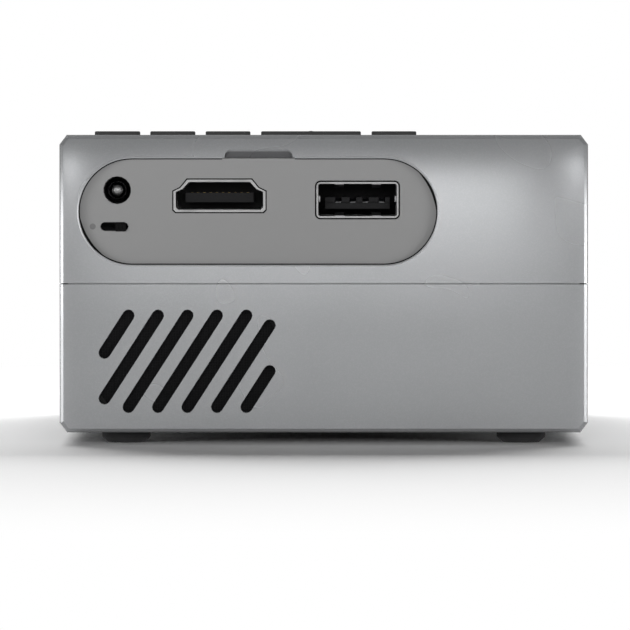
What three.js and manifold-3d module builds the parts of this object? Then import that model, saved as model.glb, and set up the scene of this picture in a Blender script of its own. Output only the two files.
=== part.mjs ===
/**
 * A pocket projector with a straight optical path, in millimetres, +Z up.
 *
 * The origin lies on the table under the middle of the object. The face with the connectors looks to
 * -Y and the lens looks to +Y. Places along Y are given as depths from the connector face, through
 * the function deep(), because that is how the pieces are stacked on the bench.
 */
import * as THREE from "three";
import { mergeVertices } from "three/addons/utils/BufferGeometryUtils.js";
import Module from "manifold-3d";

const wasm = await Module();
wasm.setup();

// General clearances and finenesses
const GAP = 0.3;
const SLIT = 0.12;
const OVERRUN = 1.5;
const MERGE_STEP = 0.0001;
const ARC_STEPS = 2;
const SLOT_ARC_STEPS = 3;
const PANEL_ARC_STEPS = 9;
const NOTCH_STEPS = 4;
const LENS_STEPS = 3;
const VENT_ARC_STEPS = 2;
const SMALL_STEPS = 12;
const SHANK_STEPS = 16;
const ROUND_STEPS = 18;
const FINE_STEPS = 32;

// Housing
const BODY_WIDTH = 84.6;
const BODY_DEPTH = 114;
const BODY_HEIGHT = 47.65;
const WALL = 2;
const EDGE_ACROSS = 1.17;
const EDGE_DOWN = 1.55;
const END_BEVEL = 0.6;
const SEAM_GAP = 0.2;
const LIP_WIDTH = 0.7;
const LIP_HEIGHT = 1.5;

// Feet
const FOOT_HEIGHT = 1.95;
const FOOT_WIDTH = 7.9;
const FOOT_TREAD = 6.1;
const FOOT_STRAIGHT = 1.1;
const FOOT_SUNK = 0.6;
const FOOT_SIDE_INSET = 10.4;
const FOOT_INSET = 9.5;

// Lens and focus
const LENS_INSET = 29.3;
const LENS_PROUD = 3;
const BARREL_RADIUS = 13.7;
const BARREL_LENGTH = 32;
const BARREL_SUNK = 4.5;
const BARREL_WALL = 1.2;
const FOCUS_TRAVEL = 2;
const RING_GRIP_RADIUS = 18;
const RING_FLANGE = 1.6;
const RING_FLANGE_THICK = 2;
const RING_TAIL = 1.2;
const RING_MOUTH_RADIUS = 16.6;
const RING_MOUTH_DEPTH = 3.6;
const KNURL_COUNT = 30;
const KNURL_DEPTH = 0.5;
const KNURL_GROOVE_SHARES = [0, 0.85];
const KNURL_CREST_SHARES = [0.25, 0.6];
const BEZEL_LIP = 0.5;
const BEZEL_WIDTH = 1.8;
const BEZEL_FLANGE = 1.2;
const BEZEL_FLANGE_THICK = 1;

// Lens elements
const FRONT_LENS_THICK = 6;
const FRONT_LENS_SUNK = 3;
const FRONT_LENS_BULGE = 1.6;
const STOP_RADIUS = 8.5;
const STOP_THICK = 2.2;
const MID_LENS_RADIUS = 10;
const MID_LENS_THICK = 5.5;
const MID_LENS_HOLLOW = 1.3;
const REAR_LENS_THICK = 6.5;
const REAR_LENS_BULGE = 1.8;

// Light engine
const ENGINE_WIDTH = 37;
const ENGINE_HEIGHT = 34.4;
const ENGINE_WALL = 1.5;
const ENGINE_STEP = 1.5;
const ENGINE_CLEAR = 2.5;
const CUP_DEPTH = 9.5;
const CUP_THROAT = 6.5;
const CONDENSER_RADIUS = 13;
const CONDENSER_THICK = 5.5;
const CONDENSER_EDGE = 2;
const FIRST_PLATE_SHARE = 0.25;
const PLATE_PITCH_SHARE = 0.19;
const HEAT_GLASS_THICK = 1.1;
const FRESNEL_THICK = 1.5;
const LCD_THICK = 2.2;
const CHAMBER_SHARE = 0.69;
const SNOUT_WALL = 2.4;
const SADDLE_THICK = 2.4;
const SADDLE_SETBACK = 4.8;
const LED_BOARD_WIDTH = 24;
const LED_BOARD_THICK = 1.6;
const LED_WIDTH = 7.6;
const LED_HEIGHT = 1.4;
const LED_BASE_HEIGHT = 0.7;
const LED_DOME_SUNK = 0.35;

// Heat sink and fan
const SINK_WIDTH = 36;
const SINK_HEIGHT = 32;
const SINK_BASE = 3.4;
const SINK_CLEAR = 1.5;
const FIN_THICK = 1;
const FIN_COUNT = 10;
const FAN_WIDTH = 30;
const FAN_THICK = 8;
const FAN_DEEP = 22.7;
const FAN_CORNER = 2.5;
const FAN_DUCT_RADIUS = 14;
const FAN_HUB_RADIUS = 6.8;
const FAN_BACK = 1.4;
const FAN_SHAFT_RADIUS = 1;
const FAN_SHAFT_SUNK = 2.8;
const FAN_STRUTS = 4;
const FAN_STRUT_WIDTH = 1.4;
const BLADE_COUNT = 7;
const BLADE_THICK = 0.7;
const BLADE_SWEEP = THREE.MathUtils.degToRad(20);
const BLADE_CHORD = THREE.MathUtils.degToRad(36);
const BLADE_TIP_GAP = 0.7;
const BLADE_STEPS = 4;
const BLADE_ALONG_SHARES = [0, 0.5, 1];

// Vents
const VENT_WIDTH = 1.8;
const VENT_LENGTH = 9.5;
const VENT_PITCH = 3.9;
const VENT_COUNT = 6;
const VENT_SEAM_MARGIN = 2.6;
const INTAKE_LENGTH = 13;
const INTAKE_COUNT = 6;

// Keys
const KEY_WIDTH = 7.3;
const WIDE_KEY_WIDTH = 16.4;
const KEY_GAP = 1.8;
const KEY_LENGTH = 8;
const KEY_PROUD = 0.6;
const KEY_CORNER = 1;
const KEY_CLEAR = 0.2;
const KEY_BEVEL = 0.2;
const KEY_FLANGE = 0.55;
const KEY_FLANGE_THICK = 0.8;
const KEY_STEM_RADIUS = 1.5;
const KEY_STEM_LENGTH = 0.8;
const KEY_TRAVEL = 0.25;
const KEY_REST = 0.05;
const KEY_ROW_INSET = 4.74;
const KEY_ROW_DEEP = 30;
const TACT_WIDTH = 4.5;
const TACT_HEIGHT = 1.1;
const TACT_BUTTON_RADIUS = 1.1;
const TACT_BUTTON_HEIGHT = 0.4;
const KEY_BOARD_THICK = 1;
const KEY_BOARD_MARGIN = 1.6;
const KEY_BOARD_LENGTH = 16.4;
const KEY_POST_RADIUS = 1.5;

// Connector panel
const PANEL_SPARE = 6.08;
const PANEL_HEIGHT = 17;
const PANEL_INSET = 3.08;
const PANEL_UP = 0.68;
const PANEL_SUNK = 0.9;
const PANEL_FLANGE = 1.3;
const PANEL_FLANGE_THICK = 1.1;
const NOTCH_OFF = 0.09;
const NOTCH_WIDTH = 10.9;
const NOTCH_HEIGHT = 1.5;
const NOTCH_CORNER = 1.2;

// Main board
const BOARD_DOWN = 12.95;
const BOARD_THICK = 1;
const BOARD_STRIP_END = 18.5;
const BOARD_STRIP_SPARE = 4.5;
const BOARD_SETBACK = 11;
const CHIP_WIDTH = 13;
const CHIP_THICK = 1.4;
const CHIP_SETBACK = 17;
const COIL_RADIUS = 4;
const COIL_HEIGHT = 4.2;
const COIL_SETBACK = 29;
const BOARD_POST_RADIUS = 1.8;
const BOARD_POST_INSET = 4;

// Display connector
const HDMI_ACROSS = 22.52;
const HDMI_UP = 0.97;
const HDMI_WIDTH = 14;
const HDMI_HEIGHT = 4.45;
const HDMI_SHELL = 0.45;
const HDMI_LENGTH = 12;
const HDMI_BACK = 1.2;
const HDMI_TONGUE_WIDTH = 10.9;
const HDMI_TONGUE_THICK = 1.5;
const HDMI_TONGUE_LIFT = 1.2;
const HDMI_TOP_WIDE_SHARE = 0.697;
const HDMI_SHOULDER_WIDE_SHARE = 0.845;
const HDMI_SHOULDER_DOWN_SHARE = 0.252;
const HDMI_FLARE_DOWN_SHARE = 0.357;
const HDMI_CORNER_IN_SHARE = 0.94;

// Data connector
const USB_ACROSS = 44.62;
const USB_SUNK = 0.07;
const USB_WIDTH = 12.6;
const USB_HEIGHT = 5.2;
const USB_SHELL = 0.4;
const USB_LENGTH = 14;
const USB_BACK = 1.2;
const USB_CORNER = 0.35;
const USB_TONGUE_WIDTH = 10.4;
const USB_TONGUE_THICK = 1.9;
const USB_TONGUE_LIFT = 1.15;
const TONGUE_SUNK = 1.3;
const TONGUE_ROOT = 2;

// Power inlet
const DC_ACROSS = 6.14;
const DC_UP = 4.1;
const DC_MOUTH_RADIUS = 2.23;
const DC_BORE_RADIUS = 2.05;
const DC_BODY_WIDTH = 8.4;
const DC_BODY_LENGTH = 11.5;
const DC_BORE_DEPTH = 9;
const DC_PIN_RADIUS = 0.95;
const DC_PIN_NOSE = 0.35;
const DC_PIN_SUNK = 1.3;
const SOCKET_DEPTH = 1.5;

// Slide switch
const SWITCH_ACROSS = 5.68;
const SWITCH_DOWN = 1.72;
const SWITCH_SLOT_WIDTH = 4.54;
const SWITCH_SLOT_HEIGHT = 1.42;
const KNOB_WIDTH = 1.7;
const KNOB_HEIGHT = 1.16;
const KNOB_CORNER = 0.23;
const KNOB_OFF = 1.04;
const KNOB_PROUD = 0.4;
const KNOB_BASE_WIDTH = 2.6;
const KNOB_BASE_DEPTH = 1.8;
const SWITCH_FRAME_WIDTH = 7.6;
const SWITCH_FRAME_DEPTH = 3.4;
const SWITCH_CHANNEL_WIDTH = 5.6;
const SWITCH_ROOF = 0.3;

// Audio jack and card slot in the left wall
const JACK_DOWN = 0.55;
const JACK_RADIUS = 2.45;
const JACK_BORE_RADIUS = 1.8;
const JACK_PROUD = 0.2;
const JACK_BODY_WIDTH = 6.2;
const JACK_BODY_HEIGHT = 5;
const JACK_BODY_LENGTH = 12;
const JACK_DEEP = 24;
const CARD_WIDTH = 14;
const CARD_LENGTH = 13;
const CARD_THICK = 1.5;
const CARD_MOUTH_WIDTH = 11.6;
const CARD_MOUTH_HEIGHT = 0.9;
const CARD_DEEP = 44;

// Loudspeaker and its slots
const SLOT_COUNT = 7;
const SLOT_WIDTH = 1.93;
const SLOT_PITCH = 4.72;
const SLOT_ANGLE = THREE.MathUtils.degToRad(57.2);
const GRILLE_INSET = 7.2;
const GRILLE_WIDTH = 26.44;
const GRILLE_UP = 4.08;
const GRILLE_HEIGHT = 14.67;
const GRILLE_FIRST = 3.85;
const CLOTH_THICK = 0.4;
const CLOTH_INSET = 0.44;
const SPEAKER_MARGIN = 1.75;
const SPEAKER_WALL = 1.2;
const SPEAKER_DEPTH = 6;
const SPEAKER_BACK = 1;
const SPEAKER_CORNER_SHARE = 0.333;
const CONE_THICK = 0.4;
const CONE_DEPTH = 2.4;
const CONE_CENTRE_SHARE = 0.34;
const CONE_BEND_SHARE = 0.65;
const MAGNET_RADIUS = 7;
const MAGNET_THICK = 4;

// Battery
const BATTERY_SIDE_GAP = 1;
const BATTERY_DEEP = 34;
const BATTERY_CLEAR = 2.4;
const BATTERY_TOP_CLEAR = 3.8;
const BATTERY_CORNER = 2.5;
const BATTERY_BEVEL = 0.6;
const RIB_THICK = 1.1;
const RIB_HEIGHT = 9;

// Screws, bosses and the tripod insert
const SCREW_SIDE_INSET = 5.7;
const SCREW_REAR_LEFT = 17.9;
const SCREW_REAR_RIGHT = 4.4;
const SCREW_FRONT_INSET = 18;
const SCREW_RADIUS = 1.1;
const SCREW_LENGTH = 27;
const SCREW_HEAD_RADIUS = 2;
const SCREW_HEAD_THICK = 1.5;
const SCREW_SUNK = 0.5;
const BOSS_RADIUS = 2.6;
const TRIPOD_BESIDE = 5.5;
const TRIPOD_DEEP = 56;
const TRIPOD_RADIUS = 4.6;
const TRIPOD_BORE_RADIUS = 2.65;
const TRIPOD_LENGTH = 4.4;
const TRIPOD_BOSS_WALL = 1.5;
const TRIPOD_ROOF = 1;

// Infrared window in the front wall
const WINDOW_INSET = 17.3;
const WINDOW_UP = 10.2;
const WINDOW_RADIUS = 3;
const WINDOW_FLANGE = 0.9;
const WINDOW_FLANGE_THICK = 1;

// Places that follow from the sizes above
const REAR_Y = -(BODY_DEPTH + LENS_PROUD) / 2;
const FRONT_Y = REAR_Y + BODY_DEPTH;
const SIDE_X = BODY_WIDTH / 2;
const BASE_Z = FOOT_HEIGHT;
const TOP_Z = BASE_Z + BODY_HEIGHT;
const SEAM_Z = BASE_Z + BODY_HEIGHT / 2;
const FLOOR_Z = BASE_Z + WALL;
const CEILING_Z = TOP_Z - WALL;
const INNER_X = SIDE_X - WALL;
const LENS_Z = SEAM_Z;

/** The Y place that lies this far in from the connector face. */
const deep = (depth) => REAR_Y + depth;

// What hangs on the left side: panel, connectors, keys, grille
const PANEL_LEFT = -SIDE_X + PANEL_INSET;
const PANEL_WIDTH = USB_ACROSS + USB_WIDTH / 2 + USB_SHELL + PANEL_SPARE;
const PANEL_X = PANEL_LEFT + PANEL_WIDTH / 2;
const NOTCH_X = PANEL_X + NOTCH_OFF;
const HDMI_X = PANEL_LEFT + HDMI_ACROSS;
const USB_X = PANEL_LEFT + USB_ACROSS;
const DC_X = PANEL_LEFT + DC_ACROSS;
const SWITCH_X = PANEL_LEFT + SWITCH_ACROSS;
const KNOB_X = SWITCH_X + KNOB_OFF;
const KEY_ROW_START = -SIDE_X + KEY_ROW_INSET;
const GRILLE_LEFT = -SIDE_X + GRILLE_INSET;
const GRILLE_RIGHT = GRILLE_LEFT + GRILLE_WIDTH;
const GRILLE_BOTTOM = BASE_Z + GRILLE_UP;
const GRILLE_TOP = GRILLE_BOTTOM + GRILLE_HEIGHT;
const WINDOW_X = -SIDE_X + WINDOW_INSET;
const WINDOW_Z = SEAM_Z + WINDOW_UP;

// What lies on the main board or under it
const BOARD_TOP = TOP_Z - BOARD_DOWN;
const BOARD_LEFT = -INNER_X + GAP;
const BOARD_STRIP_RIGHT = USB_X + USB_WIDTH / 2 + USB_SHELL + BOARD_STRIP_SPARE;
const PANEL_Z = BOARD_TOP + PANEL_UP;
const HDMI_BOTTOM = BOARD_TOP + HDMI_UP;
const USB_BOTTOM = BOARD_TOP - USB_SUNK;
const DC_Z = BOARD_TOP + DC_UP;
const SWITCH_Z = BOARD_TOP - SWITCH_DOWN;
const JACK_Z = BOARD_TOP - JACK_DOWN;
const CARD_BOTTOM = BOARD_TOP - BOARD_THICK - SLIT - CARD_THICK;
const PANEL_BACK = deep(WALL + SLIT + PANEL_FLANGE_THICK);
const SWITCH_START = PANEL_BACK + GAP;
const SPEAKER_START = deep(WALL + SLIT + CLOTH_THICK + GAP);

// Lens stack from the front wall backwards: bezel, focus ring, snout and barrel
const LENS_X = SIDE_X - LENS_INSET;
const BEZEL_BORE = RING_GRIP_RADIUS + GAP;
const BEZEL_RADIUS = BEZEL_BORE + BEZEL_WIDTH;
const BEZEL_FLANGE_END = FRONT_Y - WALL - SLIT;
const RING_FLANGE_END = BEZEL_FLANGE_END - BEZEL_FLANGE_THICK - GAP;
const RING_START = RING_FLANGE_END - RING_FLANGE_THICK - RING_TAIL;
const RING_FRONT = FRONT_Y + LENS_PROUD;
const RING_BORE = BARREL_RADIUS + GAP;
const RING_GROOVE = RING_GRIP_RADIUS - KNURL_DEPTH;
const SNOUT_RADIUS = RING_BORE + SNOUT_WALL;
const SNOUT_END = RING_START - GAP;
const BARREL_FRONT = RING_FRONT - BARREL_SUNK;
const BARREL_REAR = BARREL_FRONT - BARREL_LENGTH;

// Light engine and heat sink share the depth between the barrel and the board's strip
const ENGINE_LEFT = LENS_X - ENGINE_WIDTH / 2;
const ENGINE_FRONT = BARREL_REAR - FOCUS_TRAVEL;
const SINK_REAR = deep(BOARD_STRIP_END) + SINK_CLEAR;
const FIXED_DEPTH = SINK_BASE + LED_BOARD_THICK + 2 * SLIT + CUP_DEPTH + ENGINE_WALL;
const FREE_DEPTH = ENGINE_FRONT - SINK_REAR - FIXED_DEPTH;
const CHAMBER_DEPTH = FREE_DEPTH * CHAMBER_SHARE;
const CHAMBER_START = ENGINE_FRONT - ENGINE_WALL - CHAMBER_DEPTH;
const ENGINE_REAR = CHAMBER_START - CUP_DEPTH;
const CONDENSER_REAR = CHAMBER_START - CONDENSER_EDGE - GAP;
const SINK_FRONT = ENGINE_REAR - LED_BOARD_THICK - 2 * SLIT;

// Fan at the right wall
const FAN_RIGHT = INNER_X - GAP;
const FAN_LEFT = FAN_RIGHT - FAN_THICK;
const ROTOR_RIGHT = FAN_RIGHT - FAN_BACK - GAP;
const ROTOR_LEFT = FAN_LEFT + GAP;

// Between the left wall, the engine and the front screws: battery, board arm, tripod insert
const BATTERY_LEFT = -INNER_X + BATTERY_SIDE_GAP;
const BATTERY_RIGHT = ENGINE_LEFT - ENGINE_CLEAR;
const BATTERY_REAR = deep(BATTERY_DEEP);
const BATTERY_FRONT = FRONT_Y - SCREW_FRONT_INSET - BOSS_RADIUS - BATTERY_CLEAR;
const BATTERY_HEIGHT = CARD_BOTTOM - BATTERY_TOP_CLEAR - FLOOR_Z - GAP;
const BOARD_ARM_RIGHT = BATTERY_RIGHT;
const BOARD_ARM_FRONT = BATTERY_FRONT - BOARD_SETBACK;
const BOARD_ARM_X = (BOARD_LEFT + BOARD_ARM_RIGHT) / 2;
const TRIPOD_X = ENGINE_LEFT + TRIPOD_BESIDE;

/** A shape through points given as [across, up] pairs. */
function outline(points) {
  return new THREE.Shape(points.map(([across, up]) => new THREE.Vector2(across, up)));
}

/** A rectangle with round corners, centred on [x, y]. */
function roundedRectangle(width, height, radius, x = 0, y = 0) {
  const right = x + width / 2 - radius;
  const left = x - width / 2 + radius;
  const top = y + height / 2 - radius;
  const bottom = y - height / 2 + radius;
  const shape = new THREE.Shape();
  shape.absarc(right, top, radius, 0, Math.PI / 2);
  shape.absarc(left, top, radius, Math.PI / 2, Math.PI);
  shape.absarc(left, bottom, radius, Math.PI, Math.PI * 1.5);
  shape.absarc(right, bottom, radius, Math.PI * 1.5, Math.PI * 2);
  shape.closePath();
  return shape;
}

/** A bar with round ends, centred on [x, y] and turned by an angle. */
function roundEndedBar(length, width, angle, x, y) {
  const radius = width / 2;
  const half = length / 2 - radius;
  const away = new THREE.Vector2(Math.cos(angle), Math.sin(angle)).multiplyScalar(half);
  const shape = new THREE.Shape();
  shape.absarc(x + away.x, y + away.y, radius, angle - Math.PI / 2, angle + Math.PI / 2);
  shape.absarc(x - away.x, y - away.y, radius, angle + Math.PI / 2, angle + Math.PI * 1.5);
  shape.closePath();
  return shape;
}

/** A closed geometry as a solid: shared corners joined, collapsed faces dropped, faces turned out. */
function solid(geometry) {
  const plain = geometry.clone();
  plain.deleteAttribute("normal");
  plain.deleteAttribute("uv");
  const joined = mergeVertices(plain, MERGE_STEP);
  const points = joined.attributes.position.array;
  const kept = [];
  let volume = 0;
  const corner = [new THREE.Vector3(), new THREE.Vector3(), new THREE.Vector3()];
  for (let i = 0; i < joined.index.count; i += 3) {
    const ids = [0, 1, 2].map((k) => joined.index.getX(i + k));
    if (new Set(ids).size < 3) continue;
    kept.push(ids);
    ids.forEach((id, k) => corner[k].fromArray(points, id * 3));
    volume += corner[0].dot(corner[1].clone().cross(corner[2]));
  }
  const turned = volume < 0 ? kept.map(([a, b, c]) => [a, c, b]) : kept;
  const mesh = new wasm.Mesh({
    numProp: 3,
    vertProperties: Float32Array.from(points),
    triVerts: Uint32Array.from(turned.flat()),
  });
  return new wasm.Manifold(mesh);
}

/** Turns a geometry drawn in the XY plane so that its Z axis lies along the axis named. */
function stand(geometry, axis) {
  const turn = new THREE.Matrix4();
  if (axis === "x") {
    turn.makeBasis(new THREE.Vector3(0, 1, 0), new THREE.Vector3(0, 0, 1), new THREE.Vector3(1, 0, 0));
  } else if (axis === "y") {
    turn.makeBasis(new THREE.Vector3(1, 0, 0), new THREE.Vector3(0, 0, 1), new THREE.Vector3(0, -1, 0));
  }
  return geometry.applyMatrix4(turn);
}

/**
 * A shape pushed along an axis from one place to another. Along "x" the shape is drawn as [Y, Z],
 * along "y" as [X, Z] and along "z" as [X, Y]. A bevel rounds both ends inside the outline.
 */
function prism(shape, axis, from, to, { bevel = 0, bevelSteps = 1, arcSteps = ARC_STEPS } = {}) {
  const geometry = new THREE.ExtrudeGeometry(shape, {
    depth: to - from - 2 * bevel,
    bevelEnabled: bevel > 0,
    bevelThickness: bevel,
    bevelSize: bevel,
    bevelOffset: -bevel,
    bevelSegments: bevelSteps,
    curveSegments: arcSteps,
  });
  geometry.translate(0, 0, axis === "y" ? bevel - to : from + bevel);
  return solid(stand(geometry, axis));
}

/** A profile of [radius, place] pairs turned about an axis; it starts and ends on the axis or closes. */
function turned(profile, axis, steps = ROUND_STEPS) {
  const points = profile.map(([radius, place]) => new THREE.Vector2(radius, place));
  const geometry = new THREE.LatheGeometry(points, steps);
  if (axis === "z") geometry.rotateX(Math.PI / 2);
  if (axis === "x") geometry.rotateZ(-Math.PI / 2);
  return solid(geometry);
}

/** A plain cylinder along an axis. */
function rod(radius, axis, from, to, steps = ROUND_STEPS) {
  return turned([[0, from], [radius, from], [radius, to], [0, to]], axis, steps);
}

/** A tube along an axis. */
function tube(outer, inner, axis, from, to, steps = ROUND_STEPS) {
  return turned([[inner, from], [outer, from], [outer, to], [inner, to], [inner, from]], axis, steps);
}

/** A box between two corners. */
function block([x0, y0, z0], [x1, y1, z1]) {
  const geometry = new THREE.BoxGeometry(x1 - x0, y1 - y0, z1 - z0);
  geometry.translate((x0 + x1) / 2, (y0 + y1) / 2, (z0 + z1) / 2);
  return solid(geometry);
}

/** A skin over rings of equally many points, closed by a fan over the first and the last ring. */
function loft(rings) {
  const count = rings[0].length;
  const points = rings.flat();
  const faces = [];
  for (let row = 0; row + 1 < rings.length; row += 1) {
    for (let i = 0; i < count; i += 1) {
      const a = row * count + i;
      const b = row * count + ((i + 1) % count);
      faces.push(a, b, b + count, a, b + count, a + count);
    }
  }
  for (const [row, flip] of [[0, true], [rings.length - 1, false]]) {
    for (let i = 1; i + 1 < count; i += 1) {
      const fan = [row * count, row * count + i, row * count + i + 1];
      faces.push(...(flip ? fan.reverse() : fan));
    }
  }
  const geometry = new THREE.BufferGeometry();
  geometry.setAttribute("position", new THREE.Float32BufferAttribute(points.flat(), 3));
  geometry.setIndex(faces);
  return solid(geometry);
}

/** All the solids of a list as one. */
const joined = (solids) => solids.reduce((sum, next) => sum.add(next));

/** A solid with all the solids of a list cut from it. */
const cut = (body, tools) => tools.reduce((rest, tool) => rest.subtract(tool), body);

/** A finish of its own for one piece. */
function finish(color, roughness, metalness = 0) {
  return new THREE.MeshStandardMaterial({ color, roughness, metalness });
}

/** A named mesh from a solid, placed in its parent. */
function piece(name, body, material, place = [0, 0, 0]) {
  const data = body.getMesh();
  const geometry = new THREE.BufferGeometry();
  geometry.setAttribute("position", new THREE.Float32BufferAttribute(data.vertProperties, 3));
  geometry.setIndex(new THREE.Uint32BufferAttribute(data.triVerts, 1));
  geometry.computeVertexNormals();
  const mesh = new THREE.Mesh(geometry, material);
  mesh.name = name;
  mesh.position.set(...place);
  return mesh;
}

const paint = () => finish(0xa3a5a8, 0.38, 0.55);
const blackPlastic = () => finish(0x2b2b2d, 0.55);
const softBlack = () => finish(0x1d1d1e, 0.85);
const steel = () => finish(0xb9babb, 0.3, 0.9);
const glass = () => finish(0xdfe6ea, 0.05);
const boardGreen = () => finish(0x1f4a35, 0.5);

/** The section across the housing, pulled in all round by an inset. */
function housingSection(inset) {
  const side = SIDE_X - inset;
  const bottom = BASE_Z + inset;
  const top = TOP_Z - inset;
  const right = [
    [side - EDGE_ACROSS, bottom],
    [side, bottom + EDGE_DOWN],
    [side, top - EDGE_DOWN],
    [side - EDGE_ACROSS, top],
  ];
  return outline([...right, ...right.map(([x, z]) => [-x, z]).reverse()]);
}

/** Everything inside the housing's surface, this far in from it. */
const core = (inset) => prism(housingSection(inset), "y", REAR_Y + inset, FRONT_Y - inset);

/** All of space between two heights, as far as the housing goes. */
function layer(bottom, top) {
  return block([-BODY_WIDTH, REAR_Y - OVERRUN, bottom], [BODY_WIDTH, FRONT_Y + OVERRUN, top]);
}

/** The whole housing as one hollow box, before the seam splits it. */
function housing() {
  const outside = prism(housingSection(0), "y", REAR_Y, FRONT_Y, { bevel: END_BEVEL, bevelSteps: 2 });
  return outside.subtract(core(WALL));
}

/** The four screw places as [X, Y]. */
const SCREW_X = SIDE_X - SCREW_SIDE_INSET;
const screwPlaces = [
  [-SCREW_X, deep(SCREW_REAR_LEFT)],
  [SCREW_X, deep(SCREW_REAR_RIGHT)],
  [-SCREW_X, FRONT_Y - SCREW_FRONT_INSET],
  [SCREW_X, FRONT_Y - SCREW_FRONT_INSET],
];

/** The four foot places as [X, Y]. */
const FOOT_X = SIDE_X - FOOT_SIDE_INSET;
const footPlaces = [
  [-FOOT_X, deep(FOOT_INSET)],
  [FOOT_X, deep(FOOT_INSET)],
  [-FOOT_X, FRONT_Y - FOOT_INSET],
  [FOOT_X, FRONT_Y - FOOT_INSET],
];

/** Height of the screw heads' undersides. */
const SCREW_Z = BASE_Z + SCREW_SUNK;

/** The vent slots of one wall half: above the seam with side 1, below it with side -1. */
function ventSlots(side) {
  const middle = SEAM_Z + side * (VENT_SEAM_MARGIN + VENT_LENGTH / 2);
  const slots = [];
  for (let i = 0; i < VENT_COUNT; i += 1) {
    const y = deep(FAN_DEEP) + (i - (VENT_COUNT - 1) / 2) * VENT_PITCH;
    const shape = roundEndedBar(VENT_LENGTH, VENT_WIDTH, Math.PI / 2, y, middle);
    slots.push(prism(shape, "x", INNER_X - OVERRUN, SIDE_X + OVERRUN, { arcSteps: VENT_ARC_STEPS }));
  }
  return slots;
}

/** Moves a solid turned about the Y axis onto the lens axis. */
const onLensAxis = (body) => body.translate([LENS_X, 0, LENS_Z]);

/** The hole that the lens bezel fills, half in each shell. */
function bezelHole() {
  const hole = rod(BEZEL_RADIUS + SLIT, "y", FRONT_Y - WALL - OVERRUN, FRONT_Y + OVERRUN, FINE_STEPS);
  return onLensAxis(hole);
}

/** A plate with the inset connector panel's outline, grown all round, between two places. */
function panelPlate(grow, from, to) {
  const shape = roundEndedBar(PANEL_WIDTH + 2 * grow, PANEL_HEIGHT + 2 * grow, 0, PANEL_X, PANEL_Z);
  return prism(shape, "y", from, to, { arcSteps: PANEL_ARC_STEPS });
}

/** The scoop above the panel: full height in the outer face, running out at the panel's face. */
function fingerNotch() {
  const panelTop = PANEL_Z + PANEL_HEIGHT / 2;
  const ring = (depth) => {
    const share = (PANEL_SUNK - depth) / PANEL_SUNK;
    const corner = NOTCH_CORNER * share;
    const top = panelTop + NOTCH_HEIGHT * share;
    const side = NOTCH_WIDTH / 2;
    const points = [[NOTCH_X + side, deep(depth), panelTop - NOTCH_HEIGHT]];
    for (let i = 0; i <= NOTCH_STEPS; i += 1) {
      const turn = (i / NOTCH_STEPS) * (Math.PI / 2);
      const out = NOTCH_X + side - corner + corner * Math.cos(turn);
      points.push([out, deep(depth), top - corner + corner * Math.sin(turn)]);
    }
    const mirrored = points.map(([x, y, z]) => [2 * NOTCH_X - x, y, z]).reverse();
    return [...points, ...mirrored];
  };
  return loft([ring(-OVERRUN), ring(PANEL_SUNK)]);
}

/** The keys from left to right, each with its centre and its width. */
const keys = ["key_power", "key_source", "key_previous", "key_ok", "key_next"].map((name, i, names) => {
  const widthOf = (other) => (other === "key_ok" ? WIDE_KEY_WIDTH : KEY_WIDTH);
  const before = names.slice(0, i).reduce((sum, other) => sum + widthOf(other) + KEY_GAP, 0);
  return { name, width: widthOf(name), x: KEY_ROW_START + before + widthOf(name) / 2 };
});
const KEY_ROW_END = keys.at(-1).x + keys.at(-1).width / 2;
const KEY_FLANGE_TOP = CEILING_Z - SLIT;
const KEY_STEM_END = KEY_FLANGE_TOP - KEY_FLANGE_THICK - KEY_STEM_LENGTH;
const KEY_BOARD_TOP = KEY_STEM_END - KEY_TRAVEL - KEY_REST - TACT_HEIGHT - TACT_BUTTON_HEIGHT;
const KEY_BOARD_LEFT = KEY_ROW_START - KEY_BOARD_MARGIN;
const KEY_BOARD_RIGHT = KEY_ROW_END + KEY_BOARD_MARGIN;

/** The posts that hang the two boards from the ceiling. */
function boardPosts() {
  const posts = [];
  for (const x of [KEY_BOARD_LEFT + KEY_POST_RADIUS, KEY_BOARD_RIGHT - KEY_POST_RADIUS]) {
    for (const side of [-1, 1]) {
      const y = deep(KEY_ROW_DEEP) + side * (KEY_BOARD_LENGTH / 2 - KEY_POST_RADIUS);
      const post = rod(KEY_POST_RADIUS, "z", KEY_BOARD_TOP + SLIT, CEILING_Z + SLIT, SMALL_STEPS);
      posts.push(post.translate([x, y, 0]));
    }
  }
  const armEnd = BOARD_ARM_FRONT - BOARD_POST_INSET;
  const corners = [
    [BOARD_LEFT + BOARD_POST_INSET, armEnd],
    [BOARD_ARM_RIGHT - BOARD_POST_INSET, armEnd],
    [BOARD_STRIP_RIGHT - BOARD_POST_RADIUS, deep(BOARD_STRIP_END) - BOARD_POST_RADIUS],
  ];
  for (const [x, y] of corners) {
    const post = rod(BOARD_POST_RADIUS, "z", BOARD_TOP + SLIT, CEILING_Z + SLIT, SMALL_STEPS);
    posts.push(post.translate([x, y, 0]));
  }
  return posts;
}

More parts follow.
